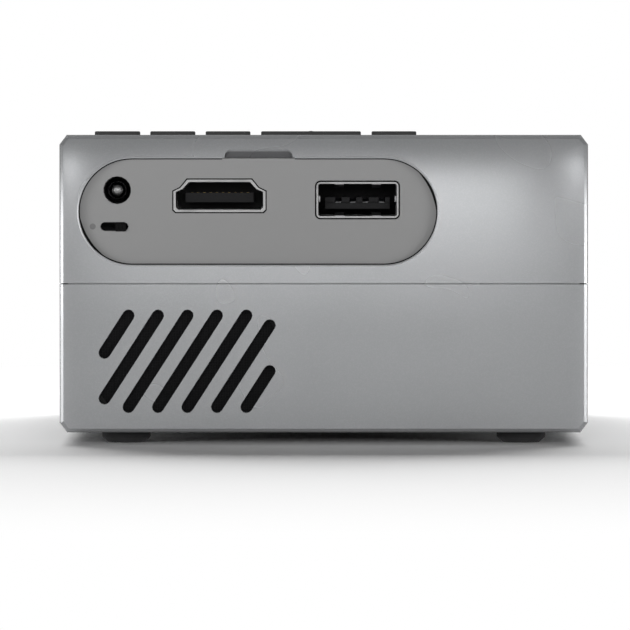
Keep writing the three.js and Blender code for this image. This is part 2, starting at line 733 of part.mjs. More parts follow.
function upperShell() {
  const seam = SEAM_Z + SEAM_GAP / 2;
  const shell = housing().intersect(layer(seam, TOP_Z + OVERRUN));
  const rebate = core(WALL - LIP_WIDTH - GAP)
    .subtract(core(WALL + GAP))
    .intersect(layer(BASE_Z, SEAM_Z + LIP_HEIGHT + GAP));
  const bosses = screwPlaces.map(([x, y]) => {
    return rod(BOSS_RADIUS, "z", seam, CEILING_Z + SLIT).translate([x, y, 0]);
  });
  const screwHoles = screwPlaces.map(([x, y]) => {
    const top = SCREW_Z + SCREW_HEAD_THICK + SCREW_LENGTH + GAP;
    return rod(SCREW_RADIUS + GAP, "z", BASE_Z, top, SHANK_STEPS).translate([x, y, 0]);
  });
  const keyHoles = keys.map(({ x, width }) => {
    const shape = roundedRectangle(width + 2 * KEY_CLEAR, KEY_LENGTH + 2 * KEY_CLEAR, KEY_CORNER + KEY_CLEAR);
    const hole = prism(shape, "z", CEILING_Z - OVERRUN, TOP_Z + OVERRUN);
    return hole.translate([x, deep(KEY_ROW_DEEP), 0]);
  });
  const jackHole = rod(JACK_RADIUS + SLIT, "x", -SIDE_X - OVERRUN, -INNER_X + OVERRUN);
  const cardSlot = roundEndedBar(
    CARD_MOUTH_WIDTH + 2 * CARD_MOUTH_HEIGHT,
    2 * CARD_MOUTH_HEIGHT,
    0,
    deep(CARD_DEEP),
    CARD_BOTTOM + CARD_THICK / 2,
  );
  const open = cut(shell, [
    panelPlate(SLIT, REAR_Y - OVERRUN, REAR_Y + WALL + OVERRUN),
    fingerNotch(),
    ...keyHoles,
    ...ventSlots(1),
    bezelHole(),
    jackHole.translate([0, deep(JACK_DEEP), JACK_Z]),
    prism(cardSlot, "x", -SIDE_X - OVERRUN, -INNER_X + OVERRUN),
    windowHole(),
  ]);
  return cut(joined([open, ...bosses, ...boardPosts()]), [rebate, ...screwHoles]);
}

/** Low ribs on the floor that keep battery, loudspeaker, fan and light engine in place. */
function floorRibs() {
  const batteryFront = BATTERY_FRONT + GAP;
  const batteryRear = BATTERY_REAR - GAP;
  const low = FLOOR_Z - SLIT;
  const ribTop = FLOOR_Z + RIB_HEIGHT;
  const speakerLeft = GRILLE_LEFT - SPEAKER_MARGIN - GAP;
  const speakerRight = GRILLE_RIGHT + SPEAKER_MARGIN + GAP;
  const speakerEnd = SPEAKER_START + SPEAKER_DEPTH;
  const fanBottom = SEAM_Z - FAN_WIDTH / 2 - GAP;
  const engineBottom = LENS_Z - ENGINE_HEIGHT / 2 - GAP;
  const ribs = [
    [[BATTERY_LEFT, batteryRear - RIB_THICK, low], [BATTERY_RIGHT, batteryRear, ribTop]],
    [[BATTERY_LEFT, batteryFront, low], [BATTERY_RIGHT, batteryFront + RIB_THICK, ribTop]],
    [[speakerLeft - RIB_THICK, REAR_Y + WALL - SLIT, low], [speakerLeft, speakerEnd, ribTop]],
    [[speakerRight, REAR_Y + WALL - SLIT, low], [speakerRight + RIB_THICK, speakerEnd, ribTop]],
  ];
  for (const side of [-1, 1]) {
    const y = deep(FAN_DEEP) + side * (FAN_WIDTH / 2 - RIB_THICK - FAN_CORNER);
    ribs.push([[FAN_LEFT, y - RIB_THICK, low], [FAN_RIGHT, y + RIB_THICK, fanBottom]]);
  }
  for (const y of [ENGINE_REAR + CUP_DEPTH, ENGINE_FRONT - CUP_DEPTH]) {
    const half = ENGINE_WIDTH / 2 - ENGINE_STEP;
    ribs.push([[LENS_X - half, y - RIB_THICK, low], [LENS_X + half, y + RIB_THICK, engineBottom]]);
  }
  return ribs.map(([from, to]) => block(from, to));
}

/** A saddle under the snout near its front end, hollowed to the snout's radius. */
function snoutSaddle() {
  const front = SNOUT_END - SADDLE_SETBACK;
  const rear = front - SADDLE_THICK;
  const half = SNOUT_RADIUS * Math.SQRT1_2;
  const rest = block([LENS_X - half, rear, FLOOR_Z - SLIT], [LENS_X + half, front, LENS_Z - half]);
  return rest.subtract(onLensAxis(rod(SNOUT_RADIUS + GAP, "y", rear - OVERRUN, front + OVERRUN)));
}

/** One slot of the loudspeaker grille, clipped to the grille's rectangle along its slanted middle line. */
function grilleSlot(index) {
  const slope = Math.tan(SLOT_ANGLE);
  const across = GRILLE_LEFT + GRILLE_FIRST + index * SLOT_PITCH;
  const top = Math.min(GRILLE_TOP, GRILLE_TOP - (across - GRILLE_RIGHT) * slope);
  const bottom = Math.max(GRILLE_BOTTOM, GRILLE_TOP - (across - GRILLE_LEFT) * slope);
  const middle = (top + bottom) / 2;
  const x = across - (GRILLE_TOP - middle) / slope;
  const length = (top - bottom) / Math.sin(SLOT_ANGLE) + SLOT_WIDTH;
  const bar = roundEndedBar(length, SLOT_WIDTH, SLOT_ANGLE, x, middle);
  return prism(bar, "y", REAR_Y - OVERRUN, REAR_Y + WALL + OVERRUN, { arcSteps: SLOT_ARC_STEPS });
}

/** The air intake slots in the floor under the heat sink. */
function intakeSlots() {
  const slots = [];
  const y = (SINK_REAR + SINK_FRONT) / 2;
  for (let i = 0; i < INTAKE_COUNT; i += 1) {
    const x = LENS_X + (i - (INTAKE_COUNT - 1) / 2) * VENT_PITCH;
    const bar = roundEndedBar(INTAKE_LENGTH, VENT_WIDTH, Math.PI / 2, x, y);
    slots.push(prism(bar, "z", BASE_Z - OVERRUN, FLOOR_Z + OVERRUN, { arcSteps: VENT_ARC_STEPS }));
  }
  return slots;
}

function lowerShell() {
  const seam = SEAM_Z - SEAM_GAP / 2;
  const shell = housing().intersect(layer(BASE_Z - OVERRUN, seam));
  const lipLayer = layer(SEAM_Z - LIP_HEIGHT, SEAM_Z + LIP_HEIGHT);
  const lip = core(WALL - LIP_WIDTH).subtract(core(WALL)).intersect(lipLayer);
  const bosses = screwPlaces.map(([x, y]) => {
    return rod(BOSS_RADIUS, "z", FLOOR_Z - SLIT, seam).translate([x, y, 0]);
  });
  const screwHoles = screwPlaces.map(([x, y]) => {
    const shank = rod(SCREW_RADIUS + GAP, "z", BASE_Z - OVERRUN, SEAM_Z + OVERRUN, SHANK_STEPS);
    const head = rod(SCREW_HEAD_RADIUS + SLIT, "z", BASE_Z - OVERRUN, SCREW_Z + SCREW_HEAD_THICK + SLIT);
    return shank.add(head).translate([x, y, 0]);
  });
  const footHollows = footPlaces.map(([x, y]) => {
    const hollow = rod(FOOT_WIDTH / 2 + SLIT, "z", BASE_Z - OVERRUN, BASE_Z + FOOT_SUNK + SLIT);
    return hollow.translate([x, y, 0]);
  });
  const tripodTop = BASE_Z + TRIPOD_LENGTH + SLIT;
  const tripodBoss = rod(TRIPOD_RADIUS + TRIPOD_BOSS_WALL, "z", FLOOR_Z - SLIT, tripodTop + TRIPOD_ROOF);
  const tripodHole = rod(TRIPOD_RADIUS + SLIT, "z", BASE_Z - OVERRUN, tripodTop);
  const slots = Array.from({ length: SLOT_COUNT }, (_, i) => grilleSlot(i));
  const open = cut(shell.add(lip), [...slots, ...ventSlots(-1), ...intakeSlots(), bezelHole()]);
  const whole = joined([
    open,
    ...bosses,
    ...floorRibs(),
    snoutSaddle(),
    tripodBoss.translate([TRIPOD_X, deep(TRIPOD_DEEP), 0]),
  ]);
  return cut(whole, [...screwHoles, ...footHollows, tripodHole.translate([TRIPOD_X, deep(TRIPOD_DEEP), 0])]);
}

/** The display connector's outline: wide below, stepped in through two slopes to a narrow top. */
function displayOutline(grow) {
  const half = HDMI_WIDTH / 2 + grow;
  const height = HDMI_HEIGHT + 2 * grow;
  const bottom = HDMI_BOTTOM - grow;
  const top = bottom + height;
  const right = [
    [half * HDMI_CORNER_IN_SHARE, bottom],
    [half, bottom + half * (1 - HDMI_CORNER_IN_SHARE)],
    [half, top - height * HDMI_FLARE_DOWN_SHARE],
    [half * HDMI_SHOULDER_WIDE_SHARE, top - height * HDMI_SHOULDER_DOWN_SHARE],
    [half * HDMI_TOP_WIDE_SHARE, top],
  ];
  const whole = [...right, ...right.map(([x, z]) => [-x, z]).reverse()];
  return outline(whole.map(([x, z]) => [HDMI_X + x, z]));
}

/** The data connector's outline. */
function dataOutline(grow) {
  const middle = USB_BOTTOM + USB_HEIGHT / 2;
  return roundedRectangle(USB_WIDTH + 2 * grow, USB_HEIGHT + 2 * grow, USB_CORNER + grow, USB_X, middle);
}

function portPanel() {
  const back = PANEL_BACK;
  const face = panelPlate(0, deep(PANEL_SUNK), back);
  const flange = panelPlate(PANEL_FLANGE, REAR_Y + WALL + SLIT, back).intersect(core(WALL + GAP));
  const dcHole = rod(DC_MOUTH_RADIUS, "y", REAR_Y, back + OVERRUN).translate([DC_X, 0, DC_Z]);
  const slot = roundEndedBar(SWITCH_SLOT_WIDTH, SWITCH_SLOT_HEIGHT, 0, SWITCH_X, SWITCH_Z);
  return cut(face.add(flange), [
    dcHole,
    prism(displayOutline(HDMI_SHELL + SLIT), "y", REAR_Y, back + OVERRUN),
    prism(dataOutline(USB_SHELL + SLIT), "y", REAR_Y, back + OVERRUN),
    prism(slot, "y", REAR_Y, back + OVERRUN),
  ]);
}

/** A key about its own middle; only the height is the projector's. */
function key(width) {
  const cap = prism(
    roundedRectangle(width, KEY_LENGTH, KEY_CORNER),
    "z",
    KEY_FLANGE_TOP - KEY_FLANGE_THICK,
    TOP_Z + KEY_PROUD,
    { bevel: KEY_BEVEL },
  );
  const flangeShape = roundedRectangle(width + 2 * KEY_FLANGE, KEY_LENGTH + 2 * KEY_FLANGE, KEY_CORNER);
  const flange = prism(flangeShape, "z", KEY_FLANGE_TOP - KEY_FLANGE_THICK, KEY_FLANGE_TOP);
  const stem = rod(KEY_STEM_RADIUS, "z", KEY_STEM_END, KEY_FLANGE_TOP, SMALL_STEPS);
  return joined([cap, flange, stem]);
}

/** The key board with one small push switch under each key. */
function keyBoard() {
  const y = deep(KEY_ROW_DEEP);
  const half = KEY_BOARD_LENGTH / 2;
  const plate = block(
    [KEY_BOARD_LEFT, y - half, KEY_BOARD_TOP - KEY_BOARD_THICK],
    [KEY_BOARD_RIGHT, y + half, KEY_BOARD_TOP],
  );
  const switches = keys.map(({ x }) => {
    const bodyTop = KEY_BOARD_TOP + TACT_HEIGHT;
    const square = roundedRectangle(TACT_WIDTH, TACT_WIDTH, TACT_HEIGHT / 2);
    const body = prism(square, "z", KEY_BOARD_TOP - SLIT, bodyTop);
    const button = rod(TACT_BUTTON_RADIUS, "z", KEY_BOARD_TOP, bodyTop + TACT_BUTTON_HEIGHT, SMALL_STEPS);
    return body.add(button).translate([x, y, 0]);
  });
  return joined([plate, ...switches]);
}

/** The main board: a strip behind the panel and an arm along the left wall, with its cut-outs. */
function mainBoard() {
  const bottom = BOARD_TOP - BOARD_THICK;
  const start = PANEL_BACK + GAP;
  const strip = block([BOARD_LEFT, start, bottom], [BOARD_STRIP_RIGHT, deep(BOARD_STRIP_END), BOARD_TOP]);
  const arm = block([BOARD_LEFT, start, bottom], [BOARD_ARM_RIGHT, BOARD_ARM_FRONT, BOARD_TOP]);
  const low = bottom - OVERRUN;
  const high = BOARD_TOP + OVERRUN;
  const usbHalf = USB_WIDTH / 2 + USB_SHELL + GAP;
  const usbNotch = block(
    [USB_X - usbHalf, start - OVERRUN, low],
    [USB_X + usbHalf, deep(PANEL_SUNK + USB_LENGTH) + GAP, high],
  );
  const bossReach = BOSS_RADIUS + GAP;
  const bossNotch = block(
    [BOARD_LEFT - OVERRUN, deep(SCREW_REAR_LEFT) - bossReach, low],
    [-SCREW_X + bossReach, deep(SCREW_REAR_LEFT) + bossReach, high],
  );
  const jackHalf = JACK_BODY_WIDTH / 2 + GAP;
  const jackNotch = block(
    [BOARD_LEFT - OVERRUN, deep(JACK_DEEP) - jackHalf, low],
    [BOARD_LEFT + JACK_BODY_LENGTH + GAP, deep(JACK_DEEP) + jackHalf, high],
  );
  return cut(strip.add(arm), [usbNotch, bossNotch, jackNotch]);
}

/** A connector's metal shell: a tube of its outline, closed at the back. */
function connectorShell(outlineOf, wall, length, back) {
  const front = deep(PANEL_SUNK);
  const outside = prism(outlineOf(wall), "y", front, front + length);
  return outside.subtract(prism(outlineOf(0), "y", front - OVERRUN, front + length - back));
}

/** A connector's tongue with the root block that fills the back of its shell. */
function connectorTongue(outlineOf, length, back, [x, width], [bottom, height]) {
  const front = deep(PANEL_SUNK);
  const end = front + length - back - SLIT;
  const root = prism(outlineOf(-SLIT), "y", end - TONGUE_ROOT, end);
  const start = front + TONGUE_SUNK;
  const blade = block([x - width / 2, start, bottom], [x + width / 2, end, bottom + height]);
  return root.add(blade);
}

/** The power inlet: a moulded block with a round bore, open to the panel. */
function powerInlet() {
  const front = PANEL_BACK + GAP;
  const half = DC_BODY_WIDTH / 2;
  const top = DC_Z + half;
  const body = block([DC_X - half, front, BOARD_TOP + SLIT], [DC_X + half, front + DC_BODY_LENGTH, top]);
  const bore = rod(DC_BORE_RADIUS, "y", front - OVERRUN, front + DC_BORE_DEPTH).translate([DC_X, 0, DC_Z]);
  const socket = rod(DC_PIN_RADIUS + SLIT, "y", front, front + DC_BORE_DEPTH + SOCKET_DEPTH, SHANK_STEPS);
  return cut(body, [bore, socket.translate([DC_X, 0, DC_Z])]);
}

/** The pin in the middle of the power inlet, with a rounded nose. */
function powerPin() {
  const tip = deep(PANEL_SUNK + DC_PIN_SUNK);
  const end = PANEL_BACK + GAP + DC_BORE_DEPTH + SOCKET_DEPTH - SLIT;
  const profile = [
    [0, tip],
    [DC_PIN_RADIUS - DC_PIN_NOSE, tip],
    [DC_PIN_RADIUS, tip + DC_PIN_NOSE],
    [DC_PIN_RADIUS, end],
    [0, end],
  ];
  return turned(profile, "y", SHANK_STEPS).translate([DC_X, 0, DC_Z]);
}

/** The slide switch's frame under the board, with the channel that the knob's base runs in. */
function switchFrame() {
  const top = BOARD_TOP - BOARD_THICK - SLIT;
  const bottom = 2 * SWITCH_Z - top;
  const half = SWITCH_FRAME_WIDTH / 2;
  const run = SWITCH_CHANNEL_WIDTH / 2;
  const end = SWITCH_START + SWITCH_FRAME_DEPTH;
  const body = block([SWITCH_X - half, SWITCH_START, bottom], [SWITCH_X + half, end, top]);
  const channel = block(
    [SWITCH_X - run, SWITCH_START - OVERRUN, bottom + SWITCH_ROOF],
    [SWITCH_X + run, SWITCH_START + KNOB_BASE_DEPTH + SLIT, top - SWITCH_ROOF],
  );
  return body.subtract(channel);
}

/** The switch knob: a base that stays in the channel and a thumb piece that passes the panel. */
function switchKnob() {
  const top = BOARD_TOP - BOARD_THICK - 2 * SLIT - SWITCH_ROOF;
  const bottom = 2 * SWITCH_Z - top;
  const half = KNOB_BASE_WIDTH / 2;
  const base = block(
    [KNOB_X - half, SWITCH_START - GAP, bottom],
    [KNOB_X + half, SWITCH_START + KNOB_BASE_DEPTH, top],
  );
  const thumb = roundedRectangle(KNOB_WIDTH, KNOB_HEIGHT, KNOB_CORNER, KNOB_X, SWITCH_Z);
  return base.add(prism(thumb, "y", deep(PANEL_SUNK - KNOB_PROUD), SWITCH_START - SLIT));
}

/** The audio jack: a moulded body in the board's notch with a round barrel through the left wall. */
function audioJack() {
  const y = deep(JACK_DEEP);
  const half = JACK_BODY_WIDTH / 2;
  const low = JACK_Z - JACK_BODY_HEIGHT / 2;
  const end = BOARD_LEFT + JACK_BODY_LENGTH;
  const body = block([BOARD_LEFT, y - half, low], [end, y + half, low + JACK_BODY_HEIGHT]);
  const mouth = -SIDE_X - JACK_PROUD;
  const barrel = rod(JACK_RADIUS, "x", mouth, BOARD_LEFT + JACK_RADIUS).translate([0, y, JACK_Z]);
  const bore = rod(JACK_BORE_RADIUS, "x", mouth - OVERRUN, end - JACK_BORE_RADIUS);
  return body.add(barrel).subtract(bore.translate([0, y, JACK_Z]));
}

/** The memory card slot: a flat metal case under the board, open to the left wall. */
function cardSlot() {
  const y = deep(CARD_DEEP);
  const end = BOARD_LEFT + CARD_LENGTH;
  const middle = CARD_BOTTOM + CARD_THICK / 2;
  const half = CARD_WIDTH / 2;
  const body = block([BOARD_LEFT, y - half, CARD_BOTTOM], [end, y + half, CARD_BOTTOM + CARD_THICK]);
  const mouth = block(
    [BOARD_LEFT - OVERRUN, y - CARD_MOUTH_WIDTH / 2, middle - CARD_MOUTH_HEIGHT / 2],
    [end - OVERRUN, y + CARD_MOUTH_WIDTH / 2, middle + CARD_MOUTH_HEIGHT / 2],
  );
  return body.subtract(mouth);
}

/** Middle of the grille, where cloth, loudspeaker and magnet are centred. */
const GRILLE_X = (GRILLE_LEFT + GRILLE_RIGHT) / 2;
const GRILLE_Z = (GRILLE_BOTTOM + GRILLE_TOP) / 2;
const SPEAKER_WIDTH = GRILLE_WIDTH + 2 * SPEAKER_MARGIN;
const SPEAKER_HEIGHT = GRILLE_HEIGHT + 2 * SPEAKER_MARGIN;
const SPEAKER_CORNER = SPEAKER_HEIGHT * SPEAKER_CORNER_SHARE;

/** An oval-ended outline of the loudspeaker, pulled in all round. */
function speakerOutline(inset) {
  const width = SPEAKER_WIDTH - 2 * inset;
  const height = SPEAKER_HEIGHT - 2 * inset;
  return roundedRectangle(width, height, SPEAKER_CORNER - inset, GRILLE_X, GRILLE_Z);
}

function speakerFrame() {
  const frame = prism(speakerOutline(0), "y", SPEAKER_START, SPEAKER_START + SPEAKER_DEPTH);
  const basket = prism(
    speakerOutline(SPEAKER_WALL),
    "y",
    SPEAKER_START - OVERRUN,
    SPEAKER_START + SPEAKER_DEPTH - SPEAKER_BACK,
  );
  const end = SPEAKER_START + SPEAKER_DEPTH;
  const throat = rod(MAGNET_RADIUS - SPEAKER_WALL, "y", SPEAKER_START, end + OVERRUN);
  return cut(frame, [basket, throat.translate([GRILLE_X, 0, GRILLE_Z])]);
}

/** The cone: a thin dish of the speaker's outline that deepens to a flat dust cap. */
function speakerCone() {
  const start = SPEAKER_START + GAP;
  const ring = (share, y) => {
    const shape = speakerOutline(SPEAKER_WALL + GAP);
    return shape.getPoints(ARC_STEPS).slice(1).map((point) => [
      GRILLE_X + (point.x - GRILLE_X) * share,
      y,
      GRILLE_Z + (point.y - GRILLE_Z) * share,
    ]);
  };
  const front = [
    ring(CONE_CENTRE_SHARE, start + CONE_DEPTH),
    ring((1 + CONE_CENTRE_SHARE) / 2, start + CONE_DEPTH * CONE_BEND_SHARE),
    ring(1, start),
  ];
  const back = [...front].reverse().map((points) => points.map(([x, y, z]) => [x, y + CONE_THICK, z]));
  return loft([...front, ...back]);
}

function speakerMagnet() {
  const start = SPEAKER_START + SPEAKER_DEPTH + SLIT;
  return rod(MAGNET_RADIUS, "y", start, start + MAGNET_THICK).translate([GRILLE_X, 0, GRILLE_Z]);
}

function speakerCloth() {
  const shape = speakerOutline(CLOTH_INSET);
  return prism(shape, "y", REAR_Y + WALL + SLIT, REAR_Y + WALL + SLIT + CLOTH_THICK);
}

function batteryPack() {
  const shape = roundedRectangle(
    BATTERY_RIGHT - BATTERY_LEFT,
    BATTERY_HEIGHT,
    BATTERY_CORNER,
    (BATTERY_LEFT + BATTERY_RIGHT) / 2,
    FLOOR_Z + GAP + BATTERY_HEIGHT / 2,
  );
  return prism(shape, "y", BATTERY_REAR, BATTERY_FRONT, { bevel: BATTERY_BEVEL });
}

/** The lens bezel: a ring through the front wall with a flange behind it. */
function lensBezel() {
  const front = FRONT_Y + BEZEL_LIP;
  const rear = BEZEL_FLANGE_END - BEZEL_FLANGE_THICK;
  const profile = [
    [BEZEL_BORE, rear],
    [BEZEL_RADIUS + BEZEL_FLANGE, rear],
    [BEZEL_RADIUS + BEZEL_FLANGE, BEZEL_FLANGE_END],
    [BEZEL_RADIUS, BEZEL_FLANGE_END],
    [BEZEL_RADIUS, front - BEZEL_LIP / 2],
    [BEZEL_RADIUS - BEZEL_LIP / 2, front],
    [BEZEL_BORE, front],
    [BEZEL_BORE, rear],
  ];
  return onLensAxis(turned(profile, "y", FINE_STEPS));
}

/** The ridges round the focus ring's grip, as one toothed outline. */
function knurlOutline() {
  const points = [];
  const [grooveEnd, grooveStart] = KNURL_GROOVE_SHARES;
  const [crestStart, crestEnd] = KNURL_CREST_SHARES;
  const corners = [
    [grooveEnd, RING_GROOVE],
    [crestStart, RING_GRIP_RADIUS],
    [crestEnd, RING_GRIP_RADIUS],
    [grooveStart, RING_GROOVE],
  ];
  for (let i = 0; i < KNURL_COUNT; i += 1) {
    for (const [share, radius] of corners) {
      const turn = ((i + share) / KNURL_COUNT) * Math.PI * 2;
      points.push([radius * Math.cos(turn), radius * Math.sin(turn)]);
    }
  }
  return outline(points);
}

function focusRing() {
  const bevel = KNURL_DEPTH;
  const gripStart = FRONT_Y + BEZEL_LIP + GAP;
  const flangeStart = RING_FLANGE_END - RING_FLANGE_THICK;
  const profile = [
    [RING_BORE, RING_START],
    [SNOUT_RADIUS, RING_START],
    [SNOUT_RADIUS, flangeStart],
    [RING_GRIP_RADIUS + RING_FLANGE, flangeStart],
    [RING_GRIP_RADIUS + RING_FLANGE, RING_FLANGE_END],
    [RING_GRIP_RADIUS, RING_FLANGE_END],
    [RING_GRIP_RADIUS, gripStart],
    [RING_GROOVE, gripStart],
    [RING_GROOVE, RING_FRONT - bevel],
    [RING_GROOVE - bevel, RING_FRONT],
    [RING_MOUTH_RADIUS, RING_FRONT],
    [RING_BORE, RING_FRONT - RING_MOUTH_DEPTH],
    [RING_BORE, RING_START],
  ];
  const ridges = prism(knurlOutline(), "y", gripStart, RING_FRONT - bevel);
  const hollow = rod(RING_GROOVE - bevel, "y", RING_START, RING_FRONT, FINE_STEPS);
  return onLensAxis(turned(profile, "y", FINE_STEPS).add(ridges.subtract(hollow)));
}

/** How far a lens face with this bulge reaches past its edge where it meets a rim. */
const bulgeAt = (bulge, radius, rim) => bulge * (1 - (rim / radius) ** 2);

/** Places along the barrel, from the front lens backwards. */
const BARREL_BORE = BARREL_RADIUS - BARREL_WALL;
const WIDE_LENS_RADIUS = BARREL_BORE - SLIT;
const FRONT_LENS_FRONT = BARREL_FRONT - FRONT_LENS_SUNK;
const FRONT_LENS_REAR = FRONT_LENS_FRONT - FRONT_LENS_THICK;
const STOP_FRONT =
  FRONT_LENS_REAR + FRONT_LENS_BULGE - bulgeAt(FRONT_LENS_BULGE, WIDE_LENS_RADIUS, STOP_RADIUS) - SLIT;
const STOP_REAR = STOP_FRONT - STOP_THICK;
const MID_LENS_REAR = STOP_REAR - SLIT - MID_LENS_THICK;
const MID_SEAT_RADIUS = MID_LENS_RADIUS + SLIT;
const REAR_LENS_FRONT = MID_LENS_REAR - GAP;
const REAR_RIM =
  REAR_LENS_FRONT - REAR_LENS_BULGE + bulgeAt(REAR_LENS_BULGE, WIDE_LENS_RADIUS, MID_SEAT_RADIUS) + SLIT;

/** The sliding barrel: a tube with a stop and two stepped lens seats. */
function lensBarrel() {
  const profile = [
    [BARREL_BORE, BARREL_FRONT],
    [BARREL_RADIUS, BARREL_FRONT],
    [BARREL_RADIUS, BARREL_REAR],
    [BARREL_BORE, BARREL_REAR],
    [BARREL_BORE, REAR_RIM],
    [MID_SEAT_RADIUS, REAR_RIM],
    [MID_SEAT_RADIUS, STOP_REAR],
    [STOP_RADIUS, STOP_REAR],
    [STOP_RADIUS, STOP_FRONT],
    [BARREL_BORE, STOP_FRONT],
    [BARREL_BORE, BARREL_FRONT],
  ];
  return onLensAxis(turned(profile, "y", FINE_STEPS));
}

/** A lens between two planes; each face bulges out by its curve, or is hollow where that is below zero. */
function lens(radius, rear, front, rearCurve, frontCurve) {
  const reach = (curve, share) => (curve > 0 ? curve * share ** 2 : -curve * (1 - share ** 2));
  const shares = Array.from({ length: LENS_STEPS + 1 }, (_, i) => i / LENS_STEPS);
  const rearFace = shares.map((share) => [radius * share, rear + reach(rearCurve, share)]);
  const frontFace = shares.map((share) => [radius * share, front - reach(frontCurve, share)]).reverse();
  return onLensAxis(turned([...rearFace, ...frontFace], "y"));
}

/** The light engine's housing: reflector cup, chamber with four grooves, and the snout for the barrel. */
function engineHousing() {
  const bottom = LENS_Z - ENGINE_HEIGHT / 2;
  const half = ENGINE_WIDTH / 2;
  const top = bottom + ENGINE_HEIGHT;
  const box = block([LENS_X - half, ENGINE_REAR, bottom], [LENS_X + half, ENGINE_FRONT, top]);
  const snout = onLensAxis(rod(SNOUT_RADIUS, "y", ENGINE_FRONT - ENGINE_WALL, SNOUT_END, FINE_STEPS));
  const inset = ENGINE_WALL + ENGINE_STEP;
  const chamber = block(
    [LENS_X - half + inset, CHAMBER_START, bottom + inset],
    [LENS_X + half - inset, CHAMBER_START + CHAMBER_DEPTH, top - inset],
  );
  const grooves = plates.map(({ place, thick }) => {
    const reach = (thick + GAP) / 2;
    return block(
      [LENS_X - half + ENGINE_WALL, place - reach, bottom + ENGINE_WALL],
      [LENS_X + half - ENGINE_WALL, place + reach, top - ENGINE_WALL],
    );
  });
  const cup = turned(
    [
      [0, ENGINE_REAR - OVERRUN],
      [CUP_THROAT, ENGINE_REAR - OVERRUN],
      [CUP_THROAT, ENGINE_REAR + ENGINE_WALL],
      [CONDENSER_RADIUS - ENGINE_STEP, CONDENSER_REAR - SLIT],
      [CONDENSER_RADIUS + SLIT, CONDENSER_REAR - SLIT],
      [CONDENSER_RADIUS + SLIT, CHAMBER_START + OVERRUN],
      [0, CHAMBER_START + OVERRUN],
    ],
    "y",
  );
  const bore = rod(RING_BORE, "y", CHAMBER_START + OVERRUN, SNOUT_END + OVERRUN, FINE_STEPS);
  return cut(box.add(snout), [chamber, ...grooves, onLensAxis(cup), onLensAxis(bore)]);
}

/** The flat plates that stand in the engine's grooves, from the light source forwards. */
const plates = [
  { name: "heat_glass", thick: HEAT_GLASS_THICK },
  { name: "fresnel_lens_rear", thick: FRESNEL_THICK },
  { name: "lcd_panel", thick: LCD_THICK },
  { name: "fresnel_lens_front", thick: FRESNEL_THICK },
].map((plate, i) => {
  const share = FIRST_PLATE_SHARE + i * PLATE_PITCH_SHARE;
  return { ...plate, place: CHAMBER_START + CHAMBER_DEPTH * share };
});

/** A flat plate of the chamber, with its clearance in the groove. */
function chamberPlate({ place, thick }) {
  const half = ENGINE_WIDTH / 2 - ENGINE_WALL - GAP;
  const up = ENGINE_HEIGHT / 2 - ENGINE_WALL - GAP;
  const rear = place - thick / 2;
  return block([LENS_X - half, rear, LENS_Z - up], [LENS_X + half, rear + thick, LENS_Z + up]);
}

function ledBoard() {
  const half = LED_BOARD_WIDTH / 2;
  const front = ENGINE_REAR - SLIT;
  const rear = front - LED_BOARD_THICK;
  return block([LENS_X - half, rear, LENS_Z - half], [LENS_X + half, front, LENS_Z + half]);
}

/** The light source: a square base with a shallow dome. */
function ledEmitter() {
  const rear = ENGINE_REAR;
  const half = LED_WIDTH / 2;
  const baseFront = rear + LED_BASE_HEIGHT;
  const base = block([LENS_X - half, rear, LENS_Z - half], [LENS_X + half, baseFront, LENS_Z + half]);
  const dome = lens(half - SLIT, rear, rear + LED_HEIGHT, LED_DOME_SUNK, LED_HEIGHT - LED_BASE_HEIGHT);
  return base.add(dome);
}

/** The heat sink: one comb drawn as [Y, Z] and pushed through along X, with its fins to the rear. */
function heatSink() {
  const bottom = LENS_Z - SINK_HEIGHT / 2;
  const pitch = (SINK_HEIGHT - FIN_THICK) / (FIN_COUNT - 1);
  const root = SINK_FRONT - SINK_BASE;
  const comb = [[SINK_FRONT, bottom]];
  comb.push([SINK_FRONT, bottom + SINK_HEIGHT]);
  for (let i = FIN_COUNT - 1; i >= 0; i -= 1) {
    const low = bottom + i * pitch;
    if (i < FIN_COUNT - 1) comb.push([root, low + FIN_THICK]);
    comb.push([SINK_REAR, low + FIN_THICK], [SINK_REAR, low]);
    if (i > 0) comb.push([root, low]);
  }
  return prism(outline(comb), "x", LENS_X - SINK_WIDTH / 2, LENS_X + SINK_WIDTH / 2);
}

/** Moves a solid turned about the X axis onto the fan's axis. */
const onFanAxis = (body) => body.translate([0, deep(FAN_DEEP), SEAM_Z]);

/** The fan's frame: a duct in a square body, with a motor plate on struts and the shaft. */
function fanFrame() {
  const square = prism(roundedRectangle(FAN_WIDTH, FAN_WIDTH, FAN_CORNER), "x", FAN_LEFT, FAN_RIGHT);
  const duct = rod(FAN_DUCT_RADIUS, "x", FAN_LEFT - OVERRUN, FAN_RIGHT + OVERRUN, FINE_STEPS);
  const plate = rod(FAN_HUB_RADIUS, "x", FAN_RIGHT - FAN_BACK, FAN_RIGHT);
  const shaft = rod(FAN_SHAFT_RADIUS, "x", FAN_LEFT + FAN_SHAFT_SUNK, FAN_RIGHT, SMALL_STEPS);
  const struts = Array.from({ length: FAN_STRUTS }, (_, i) => {
    const half = FAN_STRUT_WIDTH / 2;
    const bar = block([FAN_RIGHT - FAN_BACK, 0, -half], [FAN_RIGHT, FAN_DUCT_RADIUS + half, half]);
    return bar.rotate([(360 * (i + 0.5)) / FAN_STRUTS, 0, 0]);
  });
  return onFanAxis(joined([square.subtract(duct), plate, shaft, ...struts]));
}

